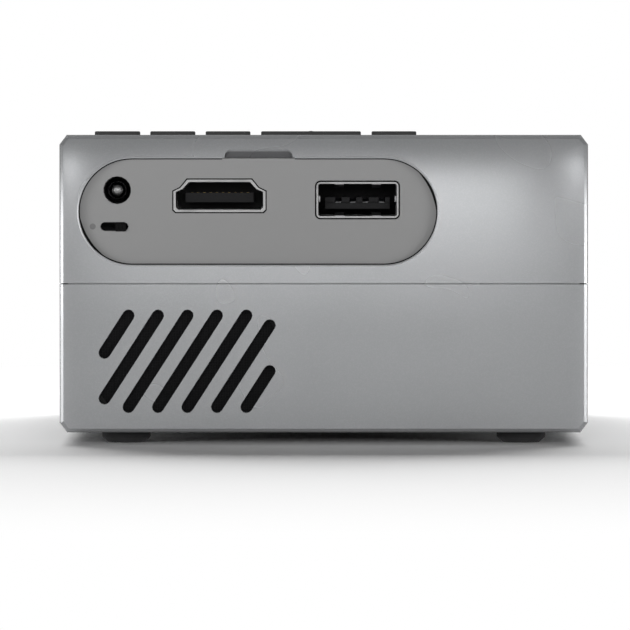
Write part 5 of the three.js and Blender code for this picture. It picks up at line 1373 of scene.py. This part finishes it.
        # dark spring steel on the data contacts: partly their metal, partly painted shade deep inside the
        # data connector
        add_piece("data_contacts", self.data_leaves(), Finishes.SPRING, "steel")
        add_piece("data_spring_tabs", self.data_tabs(), Finishes.SPRING, "steel")
        add_piece("power_pin", self.pin(), Finishes.PIN, "steel", ["dc_pin"])
        add_piece("ribbed_knob", self.knob(), Finishes.KNOB, "black_plastic", ["switch_knob"], "switch_knob")
        add_piece("jack_lining", self.lining(), Finishes.STEEL, "steel")


@dataclass
class Loudspeaker:
    """Speaker cloth behind the slots, paper cone with a rolled surround, basket and magnet."""

    middle: tuple[float, float] = (-21.88, 13.365)
    half: tuple[float, float] = (14.53, 8.645)
    corner: float = 6.0
    cloth_y: float = -56.18
    thick: float = 0.16
    slack: float = 0.08
    least_share: float = 0.02
    cone_y: float = -55.38
    cone_half: tuple[float, float] = (13.47, 7.585)
    cone_corner_share: float = 0.7
    cone_thick: float = 0.3
    cone_rest: float = 0.6
    slope_depth: float = 1.9
    slope_share: float = 0.5
    roll_shares: tuple[float, float] = (0.80, 0.96)
    roll_rise: float = 0.55
    cap_share: float = 0.30
    cap_rise: float = 0.9
    magnet_rims: tuple[float, float, float, float] = (6.6, 6.98, 6.7, 6.3)
    magnet_hole: float = 1.6
    magnet_easing: tuple[float, float, float] = (0.3, 0.6, 0.15)
    mark: float = 0.3
    mark_depth: float = 0.25

    def oval(self, half: tuple[float, float], corner: float, face_y: float, share: Array, depth: Array,
             thick: float) -> Shape:
        """A thin body: rounded rectangles shrink to the middle on the front face and grow again on the back.

        Args:
            half: half the width and half the height.
            corner: radius of the outer corners.
            face_y: place of the front face.
            share: size of each ring, from 1 down.
            depth: depth of each ring behind the face.
            thick: distance of the back face.

        Returns:
            The closed body.
        """
        front = [(half[1] * s, half[0] * s, corner * s, d) for s, d in zip(share, depth)]
        back = [(a, b, r, y + thick) for a, b, r, y in front]
        return loft(front[::-1] + back, (self.middle[0], face_y, self.middle[1]), Axis.Y, 8)

    def cloth(self) -> Shape:
        """A stretched sheet: its depth behind the face is slack x (1 - share^2).

        Returns:
            The sheet.
        """
        share = np.linspace(1.0, self.least_share, 14)
        depth = self.slack * (1 - share * share)
        return self.oval(self.half, self.corner, self.cloth_y, share, depth, self.thick)

    def cone(self) -> Shape:
        """A cone: depth = rest + roll + slope + cap.

        The roll is a half wave near the rim, the slope grows towards the middle and then stays,
        and the cap is a parabola over the middle.

        Returns:
            The cone.
        """
        share, (start, end) = np.linspace(1.0, self.least_share, 48), self.roll_shares
        wave = np.sin((share - start) / (end - start) * math.pi)
        roll = np.where((share > start) & (share < end), -self.roll_rise * wave, 0.0)
        slope = self.slope_depth * np.clip((start - share) / self.slope_share, 0.0, 1.0)
        cap = np.where(share < self.cap_share, -self.cap_rise * (1 - (share / self.cap_share) ** 2), 0.0)
        corner = self.cone_half[1] * self.cone_corner_share
        depth = self.cone_rest + roll + slope + cap
        return self.oval(self.cone_half, corner, self.cone_y, share, depth, self.cone_thick)

    def magnet(self) -> Shape:
        """A turned magnet cup with eased rims and a shallow centre mark.

        Returns:
            The cup.
        """
        low, high = cad_mm("speaker_magnet")
        (front, widest, shoulder, back), (rise, fall, last) = self.magnet_rims, self.magnet_easing
        start, end, hole = low[1], high[1], self.magnet_hole
        profile = [(0.0, start), (front, start), (widest, start + rise), (widest, end - fall),
                   (shoulder, end - last), (back, end), (hole, end),
                   (hole - self.mark, end - self.mark_depth), (0.0, end - self.mark)]
        return turned(np.array(profile), (self.middle[0], 0.0, self.middle[1]), Axis.Y, 56)

    def build(self) -> None:
        """Makes cloth, cone and magnet, and dresses the basket."""
        cloth = add_piece("grille_cloth", self.cloth(), Finishes.CLOTH, "cloth", ["speaker_cloth"])
        cone = add_piece("paper_cone", self.cone(), Finishes.PAPER, "cloth", ["speaker_cone"])
        for piece in (cloth, cone):
            lay_threads(piece)
        add_piece("magnet_cup", self.magnet(), Finishes.STEEL, "steel", ["speaker_magnet"])
        dress(Finishes.BLACK, "speaker_frame")


def lay_threads(piece: bpy.types.Object) -> None:
    """Gives a piece that faces along Y a UV map of its X and Z places in metres, for its threads.

    Args:
        piece: the piece.
    """
    mesh = piece.data
    points = np.empty(len(mesh.vertices) * 3, np.float32)
    corners = np.empty(len(mesh.loops), np.int32)
    mesh.vertices.foreach_get("co", points)
    mesh.loops.foreach_get("vertex_index", corners)
    threads = mesh.uv_layers.new(name="threads")
    threads.data.foreach_set("uv", points.reshape(-1, 3)[corners][:, [0, 2]].ravel())


@dataclass
class Optics:
    """Bezel, knurled focus ring, sliding barrel with its retaining ring, and three coated lenses."""

    centre: tuple[float, float, float] = (13.0, 0.0, 25.775)
    steps: int = 128
    bezel_bore: float = 18.3
    bezel_radius: float = 20.1
    bezel_flange: tuple[float, float] = (21.3, 1.0)
    bezel_start: float = 52.38
    bezel_lip: tuple[float, float] = (55.5, 0.5)
    bezel_inner: tuple[float, float] = (55.6, 0.4)
    ridges: int = 72
    ridge_depth: float = 0.34
    ridge_wave: tuple[float, float] = (0.5, 1.1)
    ridge_margin: float = 0.01
    grip: tuple[float, float] = (56.45, 57.9)
    grip_radius: float = 18.0
    grip_edge: float = 0.5
    grip_cut: tuple[float, float] = (0.1, 0.05)
    mouth_radius: float = 16.6
    mouth_taper: float = 2.6
    mouth_depth: float = 3.6
    mouth_step: float = 0.12
    ring_start: float = 48.88
    ring_bore: float = 14.0
    ring_step: tuple[float, float] = (16.4, 50.08)
    ring_rim: tuple[float, float] = (19.6, 52.08)
    ring_easing: float = 0.2
    barrel_bore: float = 12.5
    barrel_radius: float = 13.7
    barrel_span: tuple[float, float] = (22.0, 54.0)
    barrel_edge: float = 0.3
    barrel_mouth: tuple[float, float] = (0.1, 0.35)
    baffle: tuple[float, float] = (51.1, 53.5)
    baffle_depth: float = 0.28
    stop: tuple[float, float, float] = (8.5, 45.63, 43.43)
    seat: tuple[float, float] = (10.12, 36.43)
    retainer_rim: tuple[float, float] = (12.46, 49.75)
    retainer_lip: tuple[float, float, float, float] = (12.2, 11.9, 51.0, 0.1)
    retainer_cone: tuple[float, float, float] = (11.45, 50.0, 49.78)
    lenses: tuple[tuple[str, float, float, float, float], ...] = (
        ("front", 12.38, 45.0, 51.0, 1.6), ("middle", 10.0, 37.814, 43.314, -1.3),
        ("rear", 12.38, 31.01, 37.51, 1.8))

    def bezel(self) -> Shape:
        """A ring with a flange behind the wall and a rounded lip in front of it.

        Returns:
            The bezel.
        """
        bore, radius, start = self.bezel_bore, self.bezel_radius, self.bezel_start
        (flange, thick), (lip_y, lip) = self.bezel_flange, self.bezel_lip
        inner_y, inner = self.bezel_inner
        foot = [(bore, start), (flange, start), (flange, start + thick), (radius, start + thick)]
        outside = arc((radius - lip, lip_y), lip, 0, 90, 6)
        inside = arc((bore + inner, inner_y), inner, 90, 180, 6)
        return turned(np.vstack([foot, outside, inside]), self.centre, Axis.Y, self.steps, ring=True)

    def knurl(self, place: Array, angle: Array) -> Array:
        """Swing of the grip's radius: - depth x a clipped cosine of ridges x angle, and 0 outside the grip.

        Args:
            place: places along the axis.
            angle: angles round it.

        Returns:
            The extra radius.
        """
        (low, high), (middle, swing), margin = self.grip, self.ridge_wave, self.ridge_margin
        wave = np.clip(middle + swing * np.cos(self.ridges * angle), 0.0, 1.0)
        on = (place > low - margin) & (place < high + margin)
        return np.where(on, -self.ridge_depth * wave, 0.0)

    def focus_ring(self) -> Shape:
        """The focus ring: a stepped ring with a knurled grip and a cone with baffle steps as its mouth.

        Returns:
            The ring.
        """
        (low, high), radius, edge, start = self.grip, self.grip_radius, self.grip_edge, self.ring_start
        (step, step_y), (rim, rim_y), (cut, cut_y) = self.ring_step, self.ring_rim, self.grip_cut
        easing, front_y = self.ring_easing, high + self.grip_cut[0]
        share = np.linspace(0.0, 1.0, 19)
        cone = np.stack([self.mouth_radius - self.mouth_taper * share,
                         front_y + edge - self.mouth_depth * share], 1)
        cone[1:-1, 0] += self.mouth_step * (np.arange(17) % 3 > 0)
        foot = [(self.ring_bore, start), (step, start), (step, step_y), (rim - easing, step_y),
                (rim, step_y + easing), (rim, rim_y), (radius, rim_y), (radius, low - easing),
                (radius - cut, low - cut_y), (radius, low), (radius, high)]
        front = arc((radius - edge, front_y), edge, 0, 90, 6)
        return turned(np.vstack([foot, front, cone]), self.centre, Axis.Y, self.ridges * 8, ring=True,
                      ripple=self.knurl)

    def barrel(self) -> Shape:
        """The barrel: stepped bores for the lenses and the stop, with a saw-tooth baffle in the mouth.

        Returns:
            The barrel.
        """
        bore, radius, edge = self.barrel_bore, self.barrel_radius, self.barrel_edge
        (start, end), (seat, seat_y), (stop, stop_front, stop_back) = self.barrel_span, self.seat, self.stop
        teeth = self.baffle_depth * (np.arange(13) % 2)
        mouth = np.stack([bore + teeth, np.linspace(*self.baffle, 13)], 1)
        first, second = self.barrel_mouth
        rest = [(bore + first, end - edge), (bore + second, end), (radius - edge, end), (radius, end - edge),
                (radius, start + edge), (radius - edge, start), (bore, start), (bore, seat_y), (seat, seat_y),
                (seat, stop_back), (stop, stop_back), (stop, stop_front), (bore, stop_front)]
        return turned(np.vstack([mouth, rest]), self.centre, Axis.Y, self.steps, ring=True)

    def retainer(self) -> Shape:
        """The ring that holds the front lens, with a cone towards the glass.

        Returns:
            The ring.
        """
        (radius, start), (cone, cone_y, cone_start) = self.retainer_rim, self.retainer_cone
        outer, inner, top, easing = self.retainer_lip
        profile = [(radius, start), (radius, top - easing), (outer, top), (inner, top), (cone, cone_y),
                   (cone, cone_start)]
        return turned(np.array(profile), self.centre, Axis.Y, self.steps, ring=True)

    def lens(self, radius: float, rear: float, front: float, curve: float) -> Shape:
        """A turned lens: each face is a paraboloid, curve x share^2.

        Args:
            radius: radius of the lens.
            rear: place of the rear face's end.
            front: place of the front face's end.
            curve: how far the faces bulge; they are hollow where it is negative.

        Returns:
            The lens.
        """
        share = np.linspace(0.0, 1.0, 28)
        reach = curve * share ** 2 if curve > 0 else -curve * (1.0 - share ** 2)
        rear_face = np.stack([radius * share, rear + reach], 1)
        front_face = np.stack([radius * share, front - reach], 1)[::-1]
        return turned(np.vstack([rear_face, front_face]), self.centre, Axis.Y, self.steps)

    def build(self) -> None:
        """Makes the lens group from the front backwards."""
        plastic, slot = Finishes.LENS_PLASTIC, "lens_plastic"
        add_piece("rolled_bezel", self.bezel(), Finishes.BEZEL, slot, ["lens_bezel"])
        add_piece("knurled_ring", self.focus_ring(), plastic, slot, ["focus_ring"], "focus_ring")
        add_piece("stepped_barrel", self.barrel(), plastic, slot, ["lens_barrel"], "lens_barrel")
        add_piece("lens_retainer", self.retainer(), plastic, slot, body="lens_barrel")
        for name, *sizes in self.lenses:
            node = f"{name}_lens"
            add_piece(f"{node}_glass", self.lens(*sizes), Finishes.COATED, "glass", [node], "lens_barrel")


@dataclass
class LightEngine:
    """Light engine: housing, heat glass, two grooved lenses, liquid crystal panel, condenser and lamp."""

    groove: float = 0.9
    groove_depth: float = 0.22
    rings: int = 72
    plate_corner: float = 1.2
    smooth_share: float = 0.97

    def grooved_plate(self, node: str) -> Shape:
        """A plate whose front is cut by circular grooves.

        Rounded rectangles shrink to the middle; y = front - depth x fraction(distance / groove).

        Args:
            node: CAD node that it stands for.

        Returns:
            The plate.
        """
        low, high = cad_mm(node)
        middle, half = (low + high) / 2, (high - low) / 2
        share = np.linspace(1.0, 0.01, self.rings)
        plane = share[:, None, None] * rounded(half[0], half[2], self.plate_corner, 12)[None]
        distance = np.hypot(plane[..., 0], plane[..., 1])
        cut = self.groove_depth * ((distance / self.groove) % 1.0) * (share[:, None] < self.smooth_share)
        front = np.stack([middle[0] + plane[..., 0], high[1] - cut, middle[2] + plane[..., 1]], -1)
        back = np.stack([middle[0] + plane[..., 0], low[1] + 0.0 * cut, middle[2] + plane[..., 1]], -1)
        return skin(np.concatenate([front[::-1], back]), caps=True)

    def build(self) -> None:
        """Makes the grooved plates and dresses what stays."""
        dress(Finishes.BLACK, "engine_housing")
        dress(Finishes.GLASS, "heat_glass", "condenser_lens")
        dress(Finishes.PANEL_GLASS, "lcd_panel")
        dress(Finishes.WHITE_BOARD, "led_board")
        dress(Finishes.PHOSPHOR, "led_emitter")
        for node in ("fresnel_lens_rear", "fresnel_lens_front"):
            add_piece(f"grooved_{node}", self.grooved_plate(node), Finishes.GLASS, "glass", [node])


@dataclass
class Cooling:
    """Finned heat sink, fan frame and a rotor with swept, twisted blades."""

    centre: tuple[float, float, float] = (0.0, -35.8, 25.775)
    hub_radius: float = 6.8
    hub_edge: float = 1.0
    hub_dish: tuple[float, float, float] = (3.9, 4.2, 0.25)
    tip_radius: float = 13.3
    root_depth: float = 0.5
    rotor: tuple[float, float] = (32.3, 38.3)
    blades: int = 7
    blade_inset: float = 0.7
    sweep: float = math.radians(20.0)
    chord: float = math.radians(36.0)
    bow: float = 0.7
    thick: float = 0.62
    shaft_bore: float = 1.3
    shaft_end: float = 34.5

    def blade(self, start: float) -> Shape:
        """A swept blade.

        At share s of the radius and t of the width the angle is start + sweep x s + chord x
        (t - 1/2) + bow x sin(pi t) / radius; the section is a lens of thickness x sqrt(sin(pi t)).

        Args:
            start: angle of the blade in radians.

        Returns:
            The blade.
        """
        s = np.linspace(0.0, 1.0, 14)[:, None]
        t = np.linspace(0.0, 1.0, 13)
        along = np.concatenate([t, t[-2:0:-1]])[None]
        side = np.concatenate([np.ones(13), -np.ones(11)])[None]
        root = self.hub_radius - self.root_depth
        radius = root + (self.tip_radius - root) * s
        bow = self.bow * np.sin(along * math.pi)
        half = 0.5 * self.thick * np.sqrt(np.clip(np.sin(along * math.pi), 0.0, 1.0)) * side
        angle = start + self.sweep * s + self.chord * (along - 0.5) + (bow + half) / radius
        width = self.rotor[1] - self.rotor[0] - 2 * self.blade_inset
        x = self.rotor[0] + self.blade_inset + width * along + 0.0 * s
        y, z = self.centre[1] + radius * np.cos(angle), self.centre[2] + radius * np.sin(angle)
        return skin(np.stack([x, y, z], -1), caps=True)

    def hub(self) -> Shape:
        """A turned hub with a rounded nose, a shallow dish in it and the shaft's bore behind.

        Returns:
            The hub.
        """
        (start, end), edge, (flat, rim, depth) = self.rotor, self.hub_edge, self.hub_dish
        dish = [(0.0, start + depth), (flat, start + depth), (rim, start)]
        nose = arc((self.hub_radius - edge, start + edge), edge, -90, 0, 7)
        back = [(self.hub_radius, end), (self.shaft_bore, end), (self.shaft_bore, self.shaft_end),
                (0.0, self.shaft_end)]
        return turned(np.vstack([dish, nose, back]), self.centre, Axis.X, 64)

    def build(self) -> None:
        """Makes the rotor and dresses heat sink and frame."""
        blades = [self.blade(TAU * number / self.blades) for number in range(self.blades)]
        rotor = joined([self.hub()] + blades)
        add_piece("swept_rotor", rotor, Finishes.BLACK, "black_plastic", ["fan_rotor"], "fan_rotor")
        dress(Finishes.BLACK, "fan_frame")
        dress(Finishes.ALUMINIUM, "heat_sink")


@dataclass
class Boards:
    """Main board with its processor, wound coil, capacitors and small parts."""

    top: float = 36.65
    capacitors: tuple[tuple[float, float], ...] = ((-12.5, -34.0), (-12.5, -27.5), (-36.0, -24.0))
    can_radius: float = 2.1
    can_height: float = 4.65
    can_edge: float = 0.35
    can_groove: tuple[float, float] = (0.15, 0.5)
    vent: tuple[float, float, float] = (1.5, 1.35, 0.1)
    flange_radius: float = 3.96
    flange_face: float = 3.8
    flange_foot: float = 0.1
    flange_edge: float = 0.15
    flange_thick: float = 0.6
    core_radius: float = 3.2
    wire_rise: float = 0.26
    turns: float = 6.0
    chips: tuple[tuple[float, float, float, float], ...] = (
        (-20.5, -30.0, 5.0, 5.0), (-34.0, -14.5, 4.0, 6.0), (-13.5, -12.0, 6.0, 4.0), (-34.5, 2.0, 3.6, 5.0),
        (-13.0, 5.0, 3.4, 7.0))
    chip_span: tuple[float, float] = (0.12, 1.15)
    chip_edge: float = 0.12
    lead_pitch: float = 0.8
    lead_half: float = 0.15
    lead_reach: float = 0.55
    lead_top: float = 0.22
    lead_edge: float = 0.04
    lead_insets: tuple[float, float] = (0.6, 0.3)
    small_half: tuple[float, float] = (0.3, 0.55)
    small_top: float = 0.5
    small_edge: float = 0.06
    small_start: tuple[float, float] = (-10.2, -19.0)
    small_pitch: tuple[float, float] = (1.7, 3.6)
    small_shift: float = 0.7
    small_row: int = 10
    small_count: int = 40
    clear_middle: tuple[float, float] = (-13.3, -3.5)
    clear_half: tuple[float, float] = (3.6, 11.5)
    sunk: float = 0.01
    processor_edge: float = 0.18

    def capacitor(self, place: tuple[float, float]) -> Shape:
        """A turned can: seat groove, straight wall, rounded shoulder and a vent ring on its top.

        Args:
            place: its X and Y.

        Returns:
            The can.
        """
        low, radius, edge = self.top + 2 * self.sunk, self.can_radius, self.can_edge
        (groove, rise), (vent, inside, depth) = self.can_groove, self.vent
        high, start = low + self.can_height, low + rise
        wall = [(0.0, low), (radius, low), (radius, start), (radius - groove, start + groove),
                (radius - groove, start + 2 * groove), (radius, start + 3 * groove)]
        shoulder = arc((radius - edge, high - edge), edge, 0, 90, 6)
        top = [(vent, high), (inside, high - depth), (0.0, high - depth)]
        return turned(np.vstack([wall, shoulder, top]), (*place, 0.0), Axis.Z, 40)

    def coil(self, node: str) -> Shape:
        """A wound coil: between two flanges the radius is core + rise x |sin(pi z / pitch)|.

        Args:
            node: CAD node that it stands for.

        Returns:
            The coil.
        """
        low, high = (corner[2] for corner in cad_mm(node))
        radius, edge, thick, core = self.flange_radius, self.flange_edge, self.flange_thick, self.core_radius
        z = np.linspace(low + thick + edge, high - thick - edge, 73)
        pitch = (z[-1] - z[0]) / self.turns
        turns = np.stack([core + self.wire_rise * np.abs(np.sin((z - z[0]) / pitch * math.pi)), z], 1)
        flange = np.array([(0.0, low), (self.flange_face, low), (radius, low + edge), (radius, low + thick),
                           (core, low + thick + self.flange_foot)])
        profile = np.vstack([flange, turns, flange[::-1] * [1.0, -1.0] + [0.0, low + high]])
        return turned(profile, middle_of(node, Axis.Z), Axis.Z, 56)

    def chip(self, x: float, y: float, width: float, depth: float) -> Shape:
        """A flat chip with eased edges, and leads that pass under it and come out on two sides.

        Args:
            x: middle across.
            y: middle along.
            width: width between the leads.
            depth: length of the sides that bear leads.

        Returns:
            The chip.
        """
        half_x, half_y, (low, high) = width / 2, depth / 2, (self.top + rise for rise in self.chip_span)
        body = block((x - half_x, y - half_y, low), (x + half_x, y + half_y, high), self.chip_edge)
        reach, half, (first, last) = half_x + self.lead_reach, self.lead_half, self.lead_insets
        leads = [block((x - reach, y + place - half, self.top + self.sunk),
                       (x + reach, y + place + half, self.top + self.lead_top), self.lead_edge)
                 for place in np.arange(first - half_y, half_y - last, self.lead_pitch)]
        return joined([body] + leads)

    def smalls(self) -> Shape:
        """Resistors in four slanting rows along the free edge of the board's arm, clear of the larger parts.

        Returns:
            The resistors.
        """
        row, column = np.divmod(np.arange(self.small_count), self.small_row)
        xs = self.small_start[0] - self.small_pitch[0] * row
        ys = self.small_start[1] + self.small_pitch[1] * column + self.small_shift * row
        away_x, away_y = np.abs(xs - self.clear_middle[0]), np.abs(ys - self.clear_middle[1])
        keep = (away_x > self.clear_half[0]) | (away_y > self.clear_half[1])
        half_x, half_y = self.small_half
        return joined([block((x - half_x, y - half_y, self.top + self.sunk),
                             (x + half_x, y + half_y, self.top + self.small_top), self.small_edge)
                       for x, y in zip(xs[keep], ys[keep])])

    def build(self) -> None:
        """Makes the parts and dresses the board."""
        dress(Finishes.BOARD, "main_board")
        processor = block(*cad_mm("processor_chip"), self.processor_edge)
        cans = joined([self.capacitor(place) for place in self.capacitors])
        chips = joined([self.chip(*chip) for chip in self.chips])
        add_piece("processor_body", processor, Finishes.BLACK, "black_plastic", ["processor_chip"])
        add_piece("wound_coil", self.coil("power_coil"), Finishes.COPPER, "black_plastic", ["power_coil"])
        add_piece("capacitors", cans, Finishes.ALUMINIUM, "aluminium")
        add_piece("board_chips", chips, Finishes.BLACK, "black_plastic")
        add_piece("board_smalls", self.smalls(), Finishes.JACK, "jack_plastic")


@dataclass
class Battery:
    """Battery pack in shrink film, with rounded ends and the film's ripples."""

    corner: float = 5.0
    end: float = 1.6
    end_steps: int = 7
    body_share: float = 0.9
    ripple: float = 0.12
    ripples: float = 7.0

    def build(self) -> None:
        """Makes the wrapped pack.

        Rounded rectangles along Y, inset by a quarter round at both ends and in between by
        ripple x (1 - |sin(ripples x share)|) x (1 - share^2).
        """
        low, high = cad_mm("battery_pack")
        half, middle = (high - low) / 2, (high + low) / 2
        rings = [(half[2] - inset, half[0] - inset, self.corner - inset, depth - half[1])
                 for inset, depth in zip(*eased_ends(self.end, self.end_steps))]
        share = np.linspace(-self.body_share, self.body_share, 25)
        insets = self.ripple * (1 - np.abs(np.sin(share * self.ripples))) * (1 - share ** 2)
        body = [(half[2] - inset, half[0] - inset, self.corner, half[1] * s)
                for s, inset in zip(share, insets)]
        rear = [(a, b, r, -y) for a, b, r, y in reversed(rings)]
        shape = loft(rings + body + rear, middle, Axis.Y, 10)
        add_piece("wrapped_battery", shape, Finishes.WRAP, "battery_wrap", ["battery_pack"])


# Studio


@dataclass
class SoftBox:
    """A rectangular lamp, given by the brightness that it lends to a white face turned to it.

    Where mirrored is false, glossy faces don't show the lamp.
    """

    name: str
    place: tuple[float, float, float]
    aim: tuple[float, float, float]
    size: tuple[float, float]
    level: float
    roll: float = 0.0
    mirrored: bool = True

    def build(self) -> None:
        """Makes the lamp: power = pi^2 x distance^2 x level; the roll turns it about its own beam."""
        lamp = bpy.data.lights.new(self.name, "AREA")
        lamp.shape = "RECTANGLE"
        lamp.size, lamp.size_y = self.size
        way = Vector(self.aim) - Vector(self.place)
        lamp.energy = math.pi ** 2 * way.length_squared * self.level
        holder = bpy.data.objects.new(self.name, lamp)
        holder.location = self.place
        spin = Quaternion((0.0, 0.0, 1.0), math.radians(self.roll))
        holder.rotation_euler = (way.to_track_quat("-Z", "Y") @ spin).to_euler()
        holder.visible_camera = False
        holder.visible_glossy = self.mirrored
        bpy.context.scene.collection.objects.link(holder)


@dataclass
class Studio:
    """White floor that fades into a white surround, soft boxes and the camera; its sizes are in metres."""

    ambient: float = 0.05
    gloss: float = 0.4
    floor_colour: Colour = (0.97, 0.97, 0.97)
    floor_half: float = 1.5
    fade: tuple[float, float] = (0.15, 0.29)
    white: Colour = (1.0, 1.0, 1.0)
    face_y: float = -0.0585
    distance: float = 1.0
    sensor: float = 36.0
    clip: tuple[float, float] = (0.02, 10.0)
    view_width: float = 0.1008
    eye_height: float = 0.0496
    target: tuple[float, float] = (-0.0014, 0.02078)
    boxes: tuple[SoftBox, ...] = (
        SoftBox("back_box", (0.0, 1.85, 1.45), (0.0, 0.0, 0.0), (2.8, 1.9), 1.95, mirrored=False),
        SoftBox("band_box", (0.0, -1.40, 0.29), (0.0, -0.05, 0.04), (0.70, 0.17), 0.105),
        SoftBox("left_box", (-1.23, -0.80, 0.09), (0.0, 0.0, 0.03), (0.6, 0.16), 0.36),
        SoftBox("right_box", (1.23, -0.80, 0.09), (0.0, 0.0, 0.03), (0.6, 0.16), 0.36),
        SoftBox("low_box", (0.0, -1.40, 0.155), (0.0, -0.05, 0.04), (1.45, 0.07), 0.085),
        SoftBox("left_corner_box", (-0.74, -1.20, 0.38), (0.0, 0.0, 0.04), (0.16, 0.16), 0.04, 45.0),
        SoftBox("right_corner_box", (0.74, -1.20, 0.38), (0.0, 0.0, 0.04), (0.16, 0.16), 0.04, 45.0),
    )

    def seen(self, shader: Shader) -> Field:
        """1 for rays from the camera and through glass, a share for rays off gloss, 0 for the rest.

        Args:
            shader: node tree of the floor or the world.

        Returns:
            The share of white that a ray meets.
        """
        camera, gloss, through = (shader.node("LightPath", out=name) for name in
                                  ("Is Camera Ray", "Is Glossy Ray", "Is Transmission Ray"))
        return camera.most(gloss * self.gloss).most(through)

    def surround(self) -> None:
        """World: white where it is seen, a low grey where it only lights."""
        world = bpy.data.worlds.new("surround")
        bpy.context.scene.world = world
        shader = Shader(world)
        strength = self.seen(shader) * (1.0 - self.ambient) + self.ambient
        light = shader.node("Background", None, {"Color": self.white, "Strength": strength})
        shader.node("OutputWorld", None, {"Surface": light})

    def floor(self) -> None:
        """Floor: matt white near the object, passing into the surround's white with distance."""
        half = self.floor_half
        corners = [(-half, -half, 0.0), (half, -half, 0.0), (half, half, 0.0), (-half, half, 0.0)]
        mesh = bpy.data.meshes.new("floor")
        mesh.from_pydata(corners, [], [(0, 1, 2, 3)])
        made = bpy.data.objects.new("floor", mesh)
        bpy.context.scene.collection.objects.link(made)
        paint = bpy.data.materials.new("floor_white")
        shader = Shader(paint)
        distance = shader.node("VectorMath", {"operation": "LENGTH"}, {0: shader.place()}, "Value")
        far = distance.above(*self.fade) * self.seen(shader)
        matt = shader.node("BsdfDiffuse", None, {"Color": self.floor_colour})
        white = shader.node("Emission", None, {"Color": self.white, "Strength": 1.0})
        mixed = shader.node("MixShader", None, {0: far, 1: matt, 2: white})
        shader.node("OutputMaterial", None, {"Surface": mixed})
        mesh.materials.append(paint)

    def camera(self) -> None:
        """Camera at the height of the top face, its long lens framing the connector face."""
        lens = bpy.data.cameras.new("camera")
        lens.sensor_width = self.sensor
        lens.lens = self.sensor * self.distance / self.view_width
        lens.clip_start, lens.clip_end = self.clip
        holder = bpy.data.objects.new("camera", lens)
        x, z = self.target
        holder.location = (x, self.face_y - self.distance, self.eye_height)
        way = Vector((x, self.face_y, z)) - holder.location
        holder.rotation_euler = way.to_track_quat("-Z", "Y").to_euler()
        bpy.context.scene.collection.objects.link(holder)
        bpy.context.scene.camera = holder

    def build(self) -> None:
        """Makes surround, floor, lamps and camera."""
        bpy.context.scene.view_settings.view_transform = "Standard"
        self.surround()
        self.floor()
        for box in self.boxes:
            box.build()
        self.camera()


def main() -> None:
    """Builds studio and sub-assemblies in order."""
    logging.basicConfig(level=logging.INFO, format="%(name)s: %(message)s")
    for part in (Studio(), Casing(), KeyRow(), PortPanel(), Connectors(), Loudspeaker(), Optics(),
                 LightEngine(), Cooling(), Boards(), Battery()):
        part.build()
        LOG.info("%s done", type(part).__name__)


if __name__ == "__main__":
    main()
